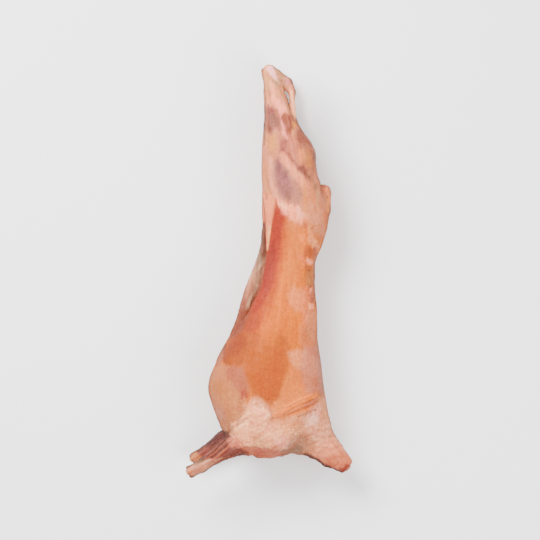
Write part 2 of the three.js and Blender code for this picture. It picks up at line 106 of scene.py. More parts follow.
def normals_of(mesh):
    n = np.empty(len(mesh.vertices) * 3, np.float32)
    mesh.vertex_normals.foreach_get("vector", n)
    return n.reshape(-1, 3).astype(float)


def averager(mesh):
    """A function that gives each vertex the mean of its neighbours' values."""
    edges = np.empty(len(mesh.edges) * 2, np.int32)
    mesh.edges.foreach_get("vertices", edges)
    a, b = edges.reshape(-1, 2).T
    count = len(mesh.vertices)
    ring = np.bincount(a, minlength=count) + np.bincount(b, minlength=count)

    def mean(values):
        columns = values.reshape(count, -1).T
        sums = [np.bincount(a, c[b], count) + np.bincount(b, c[a], count) for c in columns]
        return (np.array(sums) / ring).T.reshape(values.shape)

    return mean


def smoothed(points, mean, rounds):
    for _ in range(rounds):
        for pull in PULLS:
            points = points + pull * (mean(points) - points)
    return points


def fractal(points, size, octaves=3, seed=0):
    """Noise from about -1 to 1 over points in mm, with lumps of about the given size."""
    shift = Vector((17.3 * seed, -9.1 * seed, 5.7 * seed))
    scaled = points / size
    return np.array([noise.fractal(Vector(p) + shift, 1.0, 2.0, octaves) for p in scaled])


def turned(degrees):
    """A matrix that turns the side view, with the points on its left."""
    c, w = math.cos(math.radians(degrees)), math.sin(math.radians(degrees))
    return np.array([[c, w, 0], [-w, c, 0], [0, 0, 1]])


flesh = remeshed("flesh", "carcass_flesh", FLESH_VOXEL)
mesh = flesh.data
mean = averager(mesh)
P = smoothed(points_of(mesh), mean, FLESH_ROUNDS)
move_points(mesh, P)
N = normals_of(mesh)

# The side view of each vertex, and the same with its outlines made to wander.
S = ORIGIN + P[:, 0] / STEP
T = ORIGIN - P[:, 1] / STEP
ABOVE_MID = P[:, 2] - MID
COARSE = [fractal(P, 38, 3, seed) for seed in (1, 2)]
FINE = [fractal(P, 13, 3, seed) for seed in (3, 4)]
GRAINY = fractal(P, 6, 2, 5)
# long noise down the carcass, which feathers the ends of streaks
STREAKY = fractal(P * (1, 0.12, 1), 6, 3, 6)
# creases and broad wisps that rise towards the neck, across the shoulder
CREASES = fractal((P @ turned(-28)) * (0.3, 1, 1), 7, 3, 9)
WISPS = fractal((P @ turned(-28)) * (0.4, 1, 1), 20, 3, 11)
# the outlines wander most on the back, the belly and the ends, which the side view sees edge on
EDGE_ON = smoothstep(0.35, 0.1, np.abs(N[:, 2]))
WANDER_S = S + (1.6 + 14 * EDGE_ON) * COARSE[0] + 1.3 * FINE[0] + 0.6 * GRAINY
WANDER_T = T + (1.6 + 14 * EDGE_ON) * COARSE[1] + 1.3 * FINE[1] + 4.5 * STREAKY


OFF_WALL, LOOK_AHEAD = 0.003, 0.26  # where a look for another wall starts and ends, in m
BODY_ENDS = (-425, 196)  # the emptied body along y, in mm


def into_cavity():
    """1 where a vertex faces another wall of the emptied body, 0 on the outside, soft between."""
    tree = BVHTree.FromObject(flesh, bpy.context.evaluated_depsgraph_get())

    def sees_wall(v, sidelong):
        ahead = Vector(N[v])
        direction = (ahead + Vector((0, 0, sidelong))).normalized()
        return tree.ray_cast(Vector(P[v] / 1000) + ahead * OFF_WALL, direction, LOOK_AHEAD)[0] is not None

    facing = np.zeros(len(P))
    near = (P[:, 1] > BODY_ENDS[0]) & (P[:, 1] < BODY_ENDS[1])
    for v in np.nonzero(near)[0]:
        facing[v] = sees_wall(v, 0) or (sees_wall(v, 1.3) and sees_wall(v, -1.3))
    for _ in range(4):
        facing = (facing + mean(facing)) / 2
    return facing


INNER = into_cavity()
OUTER = 1 - INNER


def wandered(wander):
    """The side view with a share of the outlines' wander."""
    return S + wander * (WANDER_S - S), T + wander * (WANDER_T - T)


def off_segment(s, t, ax, ay, ex, ey):
    """Distance to the segment from (ax, ay) on by (ex, ey), and the share of it up to the nearest point."""
    h = np.clip(((s - ax) * ex + (t - ay) * ey) / (ex * ex + ey * ey), 0, 1)
    return np.hypot(s - ax - ex * h, t - ay - ey * h), h


def depth_in(outline, wander=1):
    """Distance to a closed outline in the side view, in steps, positive inside it."""
    s, t = wandered(wander)
    nearest = np.full(len(s), 1e9)
    inside = np.zeros(len(s), bool)
    for (ax, ay), (bx, by) in zip(outline, outline[1:] + outline[:1]):
        ex, ey = bx - ax, by - ay
        nearest = np.minimum(nearest, off_segment(s, t, ax, ay, ex, ey)[0])
        if ay != by:
            inside ^= ((ay > t) != (by > t)) & (s < ex * (t - ay) / ey + ax)
    return np.where(inside, nearest, -nearest)


def near_line(rows, wander=0.2):
    """1 on a line of (s, t, half width) rows in the side view, falling to 0 beside it."""
    s, t = wandered(wander)
    best = np.full(len(s), 1e9)
    for (ax, ay, aw), (bx, by, bw) in zip(rows, rows[1:]):
        distance, h = off_segment(s, t, ax, ay, bx - ax, by - ay)
        best = np.minimum(best, distance / (aw + (bw - aw) * h))
    return np.exp(-best * best)


def lump(s, t, across, down, turn=0):
    """A rounded bump in the side view, 1 at its middle. The turn is in degrees, clockwise as seen."""
    c, w = math.cos(math.radians(turn)), math.sin(math.radians(turn))
    u, v = S - s, T - t
    return np.exp(-(((u * c + v * w) / across) ** 2) - ((v * c - u * w) / down) ** 2)


# The tone of the whole, by t down the side view, as screen colours
BASE = [
    (60, (222, 182, 162)), (100, (222, 180, 160)), (150, (219, 170, 150)), (190, (216, 166, 144)),
    (216, (219, 162, 134)), (232, (226, 156, 118)), (262, (227, 157, 118)), (300, (226, 151, 110)),
    (345, (225, 148, 104)), (385, (222, 145, 102)), (408, (221, 158, 126)), (430, (216, 172, 148)),
    (475, (212, 158, 136)),
]

# Areas of colour: screen colour, strength, how soft the edge is in steps, how much the edge wanders, how far
# the area stands proud in mm, and the outline as s, t, s, t and so on
AREAS = [
    # hock
    ((201, 165, 142), 0.8, 2, 0.4, 0, [270, 64, 277, 66, 285, 73, 293, 80, 288, 83, 280, 82, 276, 74]),
    ((215, 178, 152), 0.7, 2, 0.4, 0, [262, 72, 268, 70, 273, 82, 274, 98, 266, 98, 263, 84]),
    ((244, 208, 204), 0.95, 1.4, 0.3, 0.4, [266, 67, 270, 65, 273, 68, 275.5, 74, 277.5, 80, 275, 81,
     271, 77, 267, 71]),
    ((204, 180, 159), 0.7, 1.8, 0.5, 0, [272, 80, 278, 80, 281, 84, 278, 88, 273, 86]),
    ((192, 151, 129), 0.6, 1.6, 0.5, -0.6, [279, 80, 284, 82, 285, 87, 280, 87]),
    ((215, 171, 164), 0.85, 1.8, 0.4, 0.5, [285, 78, 291, 79, 293, 84, 289, 87, 285, 85]),
    ((221, 190, 170), 0.6, 2, 0.5, 0, [277, 88, 282, 90, 288, 106, 288, 112, 282, 104]),
    ((230, 191, 176), 0.6, 2, 0.5, 0, [269, 84, 275, 84, 276, 100, 271, 104]),
    ((223, 187, 167), 0.6, 2, 0.5, 0, [275, 87, 279, 88, 281, 98, 277, 100]),
    ((233, 192, 180), 0.95, 2, 0.5, 0.4, [272, 97, 276, 98, 281, 103, 286, 107, 287, 112, 282, 113,
     276, 107]),
    # shank
    ((180, 131, 120), 0.9, 3, 0.8, 0.8, [267, 109, 270, 106, 274, 107, 277, 112, 279, 120, 281, 129,
     277, 132, 270, 130, 266, 127, 266, 116]),
    ((201, 150, 137), 0.5, 3.5, 0.5, 0, [266, 128, 280, 128, 281, 138, 266, 138]),
    ((191, 121, 115), 0.5, 1.8, 0.5, 0, [268, 107, 271, 105, 275, 110, 274, 115, 268, 115]),
    ((147, 106, 90), 0.6, 1.8, 0.5, 0, [266, 126, 272, 127, 273, 134, 267, 134]),
    ((173, 124, 112), 0.5, 1.8, 0.5, 0, [273, 115, 277, 116, 279, 126, 276, 128]),
    ((194, 130, 110), 0.95, 1.6, 0.4, 0.7, [279, 115, 286, 114, 292, 117, 294, 122, 292, 128, 289, 134,
     286, 137, 283, 130, 280, 122]),
    ((207, 151, 135), 0.75, 1.5, 0.4, 0, [286, 116, 290, 117, 292, 124, 290, 130, 287, 125]),
    ((198, 144, 118), 0.8, 1.5, 0.4, 0, [288, 110, 292, 115, 298, 125, 297, 130, 291, 130, 291, 121]),
    # painted highlight on the muscle's bulge
    ((221, 167, 127), 0.8, 1.4, 0.4, 0, [292, 123, 296, 124, 297, 128, 293, 129]),
    ((214, 164, 140), 0.8, 2, 0.5, 0.4, [296, 127, 299, 131, 298, 141, 293, 147, 287, 145, 291, 136]),
    ((180, 118, 104), 0.85, 2.4, 0.7, 0.5, [296, 131, 301, 130, 307, 138, 313, 147, 307, 150, 300, 147,
     295, 140]),
    ((212, 160, 144), 0.85, 3, 0.6, 0, [280, 136, 290, 138, 298, 145, 298, 158, 290, 156, 280, 152]),
    ((214, 168, 140), 0.7, 3, 0.6, 0, [262, 134, 276, 136, 278, 144, 276, 154, 271, 162, 262, 162]),
    ((221, 172, 126), 0.5, 2.5, 0.6, 0, [270, 136, 275, 136, 275, 150, 270, 150]),
    ((212, 169, 154), 0.5, 2.5, 0.6, 0, [263, 144, 268, 144, 269, 166, 263, 166]),
    ((196, 135, 123), 0.85, 2, 0.5, 0.3, [279, 141, 283, 139, 287, 141, 286, 147, 284, 153, 279, 153]),
    # back of the thigh
    ((203, 146, 123), 0.9, 3, 0.5, 1.0, [297, 144, 306, 146, 314, 152, 317, 164, 314, 175, 305, 169,
     298, 161, 295, 153]),
    ((226, 172, 144), 0.75, 2, 0.5, 0, [297, 151, 303, 152, 305, 161, 302, 165, 298, 160]),
    # painted highlight on the bulge behind the thigh
    ((217, 164, 127), 0.7, 2.5, 0.5, 0, [304, 154, 311, 156, 312, 167, 305, 166]),
    ((153, 127, 123), 0.7, 1.8, 0.5, 0, [310, 146, 316, 153, 317, 163, 313, 160]),
    ((185, 127, 116), 0.8, 3.4, 0.3, -0.5, [283, 150, 289, 154, 295, 162, 302, 170, 309, 177, 304, 179,
     295, 173, 287, 162]),
    ((158, 98, 88), 0.85, 2.2, 0.3, -0.5, [298, 166, 303, 167, 308, 171, 306, 175, 300, 174, 297, 169]),
    ((169, 132, 103), 0.6, 2, 0.5, -0.4, [305, 173, 311, 174, 313, 182, 307, 181]),
    # thigh
    ((223, 185, 169), 0.85, 2.8, 0.5, 0.4, [268, 157, 272, 158, 275, 170, 278, 186, 284, 200, 281, 208,
     275, 202, 270, 186, 267, 170]),
    ((217, 173, 145), 0.6, 2.5, 0.5, 0, [262, 162, 267, 164, 270, 186, 272, 198, 263, 194]),
    ((202, 159, 143), 0.9, 4, 0.5, -0.6, [275, 158, 281, 156, 288, 170, 299, 182, 304, 196, 300, 206,
     288, 206, 279, 198, 272, 176, 272, 164]),
    ((189, 141, 137), 0.8, 3.2, 0.5, -0.6, [275, 161, 280, 159, 284, 170, 290, 181, 293, 192, 290, 200,
     283, 197, 277, 186, 274, 172]),
    ((174, 118, 113), 0.6, 2, 0.5, 0, [276, 160, 280, 160, 281, 168, 280, 175, 277, 172]),
    ((173, 124, 117), 0.7, 1.6, 0.4, 0, [283, 172, 287, 173, 286, 180, 283, 179]),
    ((178, 136, 119), 0.7, 1.8, 0.4, 0, [285, 190, 290, 191, 290, 199, 286, 199]),
    ((225, 181, 162), 0.9, 2.4, 0.5, 0.8, [279, 153, 284, 153, 290, 160, 296, 168, 303, 177, 308, 186,
     303, 188, 296, 181, 289, 173, 284, 166, 280, 160]),
    ((231, 188, 171), 0.9, 2.6, 0.7, 1.0, [276, 199, 281, 203, 286, 205, 292, 205, 298, 207, 304, 213,
     305, 220, 300, 224, 294, 222, 287, 217, 281, 211]),
    ((226, 192, 181), 0.7, 1.8, 0.6, 0.5, [294, 207, 299, 207, 303, 213, 302, 219, 297, 217]),
    ((244, 204, 191), 0.6, 2.2, 0.6, 0.3, [278, 202, 284, 203, 286, 209, 280, 208]),
    ((220, 180, 160), 0.6, 4, 0.6, 0.5, [302, 204, 316, 202, 322, 212, 320, 224, 308, 224, 303, 216]),
    ((223, 165, 125), 0.5, 1.5, 0.3, 0, [302, 182, 305, 182, 308, 200, 308, 214, 304, 212, 303, 198]),
    ((224, 169, 137), 0.6, 1.5, 0.3, 0, [309, 188, 312, 188, 313, 204, 310, 204]),
    ((219, 160, 128), 0.5, 1.4, 0.3, 0, [313, 192, 315, 192, 316, 212, 313, 212]),
    ((214, 186, 162), 0.6, 1.3, 0.3, 0, [316, 191, 319, 192, 319, 208, 316, 208]),
    ((154, 133, 101), 0.6, 1.5, 0.4, 0, [313, 183, 317, 185, 316, 191, 313, 189]),
    ((225, 167, 135), 0.7, 2, 0.6, 0, [301, 219, 306, 218, 309, 226, 304, 230]),
    ((240, 192, 172), 0.7, 1.4, 0.3, 0, [322, 187, 328, 188, 329, 197, 325, 196]),
    ((238, 185, 151), 0.6, 2, 0.4, 0, [326, 198, 332, 198, 330, 214, 326, 212]),
    ((227, 152, 120), 0.7, 1.4, 0.5, 0, [323, 213, 326, 212, 327, 222, 324, 223]),
    # flank
    ((215, 124, 97), 0.85, 4, 0.4, 0, [276, 206, 284, 214, 287, 216, 287, 230, 285, 250, 282, 268, 278, 286,
     272, 306, 262, 326, 250, 342, 240, 340, 246, 322, 254, 304, 262, 284, 266, 262]),
    ((206, 109, 91), 1, 1.9, 0.25, -0.6, [276, 200, 279, 208, 282.5, 213, 284.5, 216, 282.5, 227,
     280.5, 241, 278.5, 257, 276, 273, 272, 287, 266, 300, 258, 311, 249, 317, 252, 304, 256.5, 290,
     260, 277, 263.4, 262, 266, 250, 270, 234, 273, 216]),
    ((191, 95, 84), 0.7, 2.2, 0.3, 0, [270, 240, 275, 240, 274, 256, 270, 274, 265, 288, 262, 290, 265, 274,
     267, 256]),
    ((195, 107, 88), 0.6, 3, 0.5, 0, [247, 318, 256, 312, 258, 322, 250, 336, 242, 342]),
    ((227, 178, 157), 1, 0.8, 0.1, 0.7, [262.5, 190, 270, 195, 276.5, 200, 274, 214, 270, 231, 267.8, 242,
     266.8, 250, 266, 250, 265.4, 240, 264.2, 230, 262, 221]),
    ((221, 158, 122), 0.5, 5, 0.8, 0, [290, 226, 300, 226, 300, 262, 298, 300, 289, 300, 287, 260]),
    ((211, 136, 107), 0.75, 1.3, 0.5, 0, [303, 222, 307, 222, 307.5, 227, 305, 230, 303, 228]),
    ((233, 171, 141), 0.6, 1.2, 0.6, 0.3, [299, 234, 303, 233, 305, 239, 302, 243, 299, 240]),
    ((225, 186, 161), 0.6, 1.4, 0.7, 0.3, [307, 225, 310, 226, 313, 234, 312, 240, 308, 240]),
    ((215, 152, 119), 0.85, 1.3, 0.5, -0.3, [310, 225, 314, 226, 318, 233, 321, 239, 319, 242, 314, 236]),
    ((208, 147, 128), 0.7, 1.2, 0.5, 0, [319, 226, 322, 229, 323, 239, 320, 238]),
    ((223, 180, 157), 0.75, 1.6, 0.6, 0.5, [307, 240, 310, 236, 315, 239, 320, 245, 319, 250, 313, 248]),
    ((214, 134, 103), 0.85, 1.5, 0.5, -0.3, [303, 250, 307, 245, 313, 248, 316, 252, 313, 257, 308, 259,
     304, 256]),
    ((212, 126, 90), 0.85, 1.2, 0.4, -0.3, [308, 248, 312, 249, 314, 254, 311, 256, 308, 253]),
    ((228, 167, 142), 0.6, 2.2, 0.6, 0, [301, 286, 310, 285, 311, 304, 309, 322, 302, 324]),
    ((226, 166, 142), 0.5, 1.4, 0.5, 0, [302, 259, 309, 260, 309, 266, 303, 266]),
    ((167, 108, 112), 0.8, 0.9, 0.3, 0, [314, 247, 316, 248, 316, 251, 314, 250]),
    ((230, 161, 137), 0.6, 1.5, 0.6, 0.3, [297, 255, 302, 256, 304, 259, 299, 260]),
    ((230, 186, 170), 0.9, 1.3, 0.5, 0.5, [305, 260, 309, 259, 313, 262, 312, 266, 307, 265]),
    ((206, 128, 98), 0.8, 1.3, 0.5, -0.3, [304, 266, 312, 267, 312, 272, 307, 272]),
    ((210, 149, 112), 0.7, 1.5, 0.5, -0.3, [305, 271, 312, 271, 313, 286, 308, 288, 304, 281]),
    ((157, 74, 60), 0.75, 0.9, 0.4, -0.3, [308, 270, 310, 270, 310, 273, 308, 273]),
    ((184, 122, 105), 0.75, 0.9, 0.4, -0.3, [309.5, 276, 311, 276, 311, 280, 309.5, 280]),
    ((173, 106, 96), 0.7, 0.9, 0.4, -0.3, [309, 284, 311, 284, 311, 288, 309, 288]),
    ((204, 148, 114), 0.6, 1.0, 0.5, 0.3, [307, 270, 309, 272, 310, 276, 308, 277, 306.5, 274]),
    ((212, 172, 138), 0.6, 1.0, 0.5, 0.3, [308, 278, 310, 279, 310.5, 285, 308.5, 285]),
    ((226, 176, 152), 0.6, 3.4, 1.0, 0.3, [290, 289, 297, 287, 304, 289, 305, 300, 302, 310, 295, 311,
     290, 304]),
    ((209, 142, 123), 0.75, 1.2, 0.5, 0, [308, 290, 313, 290, 313, 303, 309, 301]),
    ((232, 190, 174), 0.7, 1.1, 0.5, 0.3, [309, 288, 312, 288, 312, 292, 309, 292]),
    ((188, 114, 102), 0.6, 0.9, 0.3, 0, [311, 297, 313, 297, 313.5, 304, 311.5, 304]),
    ((230, 192, 176), 0.7, 1.3, 0.6, 0.3, [307, 303, 313, 303, 314, 308, 308, 309]),
    ((220, 175, 153), 0.6, 2.5, 0.6, 0.3, [305, 310, 315, 309, 318, 338, 312, 342, 306, 334]),
    ((174, 110, 94), 0.85, 2.6, 0.5, 0, [229, 326, 240, 302, 252, 304, 249, 318, 243, 334, 228, 340]),
    # chest
    ((155, 82, 62), 0.85, 3, 0.6, 0, [228, 346, 236, 338, 246, 335, 251, 345, 247, 358, 238, 364, 228, 366]),
    ((134, 88, 91), 0.6, 1.8, 0.4, 0, [223, 348, 227, 345, 228, 356, 227, 366, 223, 360]),
    ((223, 132, 73), 0.5, 5, 0.8, 0, [266, 330, 282, 330, 282, 350, 268, 352]),
    ((210, 128, 92), 0.85, 3, 0.5, 0, [232, 340, 246, 332, 260, 334, 267, 346, 274, 346, 280, 334, 288, 336,
     290, 350, 287.5, 370, 280, 396, 269, 407, 262.5, 399, 254, 394, 247.5, 379, 241, 369, 230, 367,
     227, 352]),
    ((216, 160, 134), 0.6, 3, 0.6, 0, [299, 326, 315, 322, 318, 352, 300, 351]),
    ((215, 128, 86), 0.7, 6, 0.5, 0, [248, 352, 262, 346, 282, 340, 287, 352, 284, 372, 278, 392, 269, 402,
     258, 394, 250, 382]),
    ((213, 125, 91), 0.8, 5, 0.5, -0.5, [278, 350, 284, 350, 284, 366, 280, 384, 275, 396, 270, 403,
     263, 396, 256, 386, 256, 376, 266, 366, 274, 358]),
    ((186, 97, 84), 0.5, 3, 0.6, 0, [226, 352, 229, 338, 235, 331, 244, 333, 246, 344, 240, 352, 230, 358]),
    ((184, 150, 142), 0.5, 1.6, 0.5, 0, [213, 366, 217, 353, 221, 344, 224.5, 345, 223.5, 356, 221, 366]),
    ((223, 159, 123), 0.8, 3, 0.5, 0, [286, 376, 292, 364, 300, 371, 308, 378, 313, 386, 310, 394, 300, 398,
     288, 404, 277, 411, 273, 408, 280, 395]),
    ((215, 158, 127), 0.6, 2.5, 0.5, 0, [304, 376, 309, 376, 315, 387, 312, 396, 307, 391]),
    ((223, 181, 159), 0.6, 3, 0.5, 0.4, [288, 353, 296, 350, 306, 351, 315, 356, 322, 366, 322, 376,
     314, 378, 306, 373, 298, 369, 291, 363]),
    ((195, 163, 147), 0.7, 3, 0.6, 0.3, [316, 326, 322, 330, 328, 398, 322, 404, 318, 380, 316, 350]),
    ((210, 159, 131), 0.9, 3, 0.6, 0.4, [206, 370, 224, 364, 240, 368, 250, 386, 246, 398, 240, 420,
     238, 432, 220, 428, 206, 400]),
    ((213, 160, 128), 0.5, 4, 0.8, 0, [222, 388, 230, 386, 236, 400, 236, 418, 228, 422, 224, 404]),
    ((204, 137, 114), 0.85, 2.5, 0.7, 0.6, [226, 368, 235, 366, 242, 369, 247, 376, 249, 387, 243, 390,
     236, 386, 228, 378]),
    ((208, 143, 123), 0.6, 2, 0.7, 0.3, [234, 381, 240, 381, 242, 388, 237, 390]),
    ((203, 101, 92), 0.7, 1.6, 0.8, 0, [240, 389, 247, 388, 249, 395, 242, 398]),
    ((213, 157, 126), 0.5, 3, 0.6, 0, [206, 366, 214, 366, 214, 392, 207, 394]),
    # shoulder
    ((219, 179, 157), 0.95, 2.4, 0.9, 1.0, [243, 402, 248, 404, 253, 398, 260, 398, 266, 402, 271, 410,
     273, 420, 284, 418, 300, 414, 314, 409, 319, 399, 323, 394, 332, 402, 334, 424, 322, 444, 302, 450,
     276, 450, 256, 448, 244, 444, 231, 437, 230, 428, 238, 418, 243, 410]),
    ((225, 187, 167), 0.9, 2.6, 0.9, 0.6, [246, 412, 248, 404, 253, 400, 260, 402, 267, 404, 270, 410,
     268, 418, 258, 423, 247, 421]),
    ((232, 201, 187), 0.4, 2, 0.9, 0.4, [251, 403, 256, 403, 267, 408, 267, 415, 258, 414, 251, 410]),
    ((223, 187, 167), 0.75, 3, 1, 0.4, [234, 428, 246, 422, 258, 425, 272, 421, 290, 421, 296, 430,
     280, 440, 262, 446, 248, 446, 238, 438]),
    ((222, 189, 177), 0.7, 2.4, 0.8, 0.3, [308, 406, 317, 401, 322, 408, 318, 419, 310, 416]),
    ((202, 158, 126), 0.5, 3, 1, 0, [252, 431, 262, 433, 264, 444, 254, 442]),
    ((221, 170, 141), 0.6, 4, 1, 0, [270, 420, 284, 419, 300, 418, 298, 428, 280, 430, 270, 430]),
    # painted shade along the lower edge of the shoulder
    ((196, 156, 136), 0.7, 4, 0.8, 0, [286, 442, 296, 434, 306, 434, 308, 446, 298, 452, 286, 453]),
    # neck
    ((218, 182, 164), 0.6, 3, 0.7, 0.4, [312, 414, 332, 420, 342, 438, 334, 448, 314, 442, 304, 430]),
    ((220, 174, 154), 0.85, 3, 0.6, 0, [318, 444, 336, 440, 346, 448, 354, 462, 350, 472, 334, 468,
     310, 456]),
    ((214, 145, 120), 0.65, 3, 0.5, 0, [322, 458, 334, 455, 346, 452, 355, 464, 348, 474, 330, 469]),
    ((176, 83, 75), 0.85, 1.8, 0.5, 0, [340, 468, 348, 464, 355, 468, 346, 475, 338, 472]),
    ((140, 64, 56), 0.7, 1.2, 0.4, 0, [322, 463, 334, 469, 346, 473, 344, 476, 330, 472, 320, 467]),
    # fore shanks
    ((156, 102, 90), 0.95, 1.3, 0.3, 0, [184, 456, 196, 448, 208, 440, 219, 429, 225, 431, 232, 436,
     240, 446, 228, 451, 212, 459, 196, 464]),
    # painted shade along the upper edge of the far shank
    ((135, 94, 90), 0.8, 1.6, 0.3, 0, [206, 440, 219, 428, 225, 430.5, 229, 436, 216, 444, 207, 449]),
    ((195, 137, 126), 0.7, 1.6, 0.4, 0, [197, 454, 204, 448, 210, 447, 208, 453, 202, 457]),
    ((172, 112, 100), 0.95, 1.3, 0.3, 0, [204, 463, 222, 452, 236, 443, 248, 449, 247, 457, 230, 462,
     214, 466]),
    ((172, 112, 100), 0.85, 1.6, 0.4, 0, [224, 448, 234, 443, 243, 447, 242, 454, 230, 456, 222, 456]),
    ((207, 167, 148), 0.9, 1.3, 0.3, 0.3, [184, 464, 196, 462, 208, 459, 218, 458, 232, 456, 236, 460,
     218, 467, 197, 478, 184, 474]),
    ((214, 166, 138), 0.9, 1.2, 0.3, 0, [187, 452, 196, 452, 201, 457, 198, 462, 187, 462]),
    # painted shade along the lower edge of the shoulder and the chest
    ((178, 142, 121), 0.8, 2.2, 0.5, 0, [272, 451, 284, 447.5, 296, 443, 303, 447, 300, 458, 284, 462,
     268, 460]),
    ((210, 152, 132), 0.95, 1.2, 0.3, 0.4, [240, 444, 250, 445.5, 262, 446, 274, 447.5, 281, 449.5,
     279, 458, 272, 462, 260, 462, 248, 459]),
    ((209, 133, 115), 0.8, 1.2, 0.4, 0.4, [253, 449, 260, 448, 264, 451, 261, 454, 254, 453]),
    ((159, 84, 71), 0.7, 1.2, 0.3, 0, [238, 448, 246, 449, 250, 452, 248, 456, 238, 455]),
    ((220, 168, 149), 0.7, 2, 0.5, 0, [227, 438, 236, 435, 243, 439, 243, 446, 233, 447, 228, 443]),
    # soft mottles over these
    ((204, 160, 152), 0.4, 3, 0.6, 0, [304, 346, 320, 345, 324, 366, 322, 392, 304, 392, 300, 372]),
    ((236, 212, 204), 0.4, 3, 0.8, 0, [303, 416, 316, 414, 318, 425, 306, 427]),
    ((214, 164, 150), 0.35, 2, 0.6, 0, [304, 400, 316, 397, 318, 404, 305, 406]),
    ((214, 178, 160), 0.4, 3, 0.6, 0, [311, 219, 324, 219, 327, 236, 313, 234]),
    ((236, 190, 182), 0.35, 2, 0.6, 0, [280, 207, 286, 207, 286, 215, 281, 214]),
    # painted shade in the notch of the neck
    ((178, 118, 92), 0.35, 3, 0.8, 0, [303, 436, 314, 436, 316, 446, 305, 448]),
    ((228, 196, 190), 0.35, 3, 0.8, 0, [275, 437, 287, 437, 287, 446, 276, 446]),
    ((208, 172, 166), 0.35, 3, 0.6, 0, [213, 408, 223, 408, 224, 420, 215, 419]),
    ((206, 132, 84), 0.35, 3, 0.6, 0, [213, 381, 223, 381, 223, 392, 213, 392]),
]

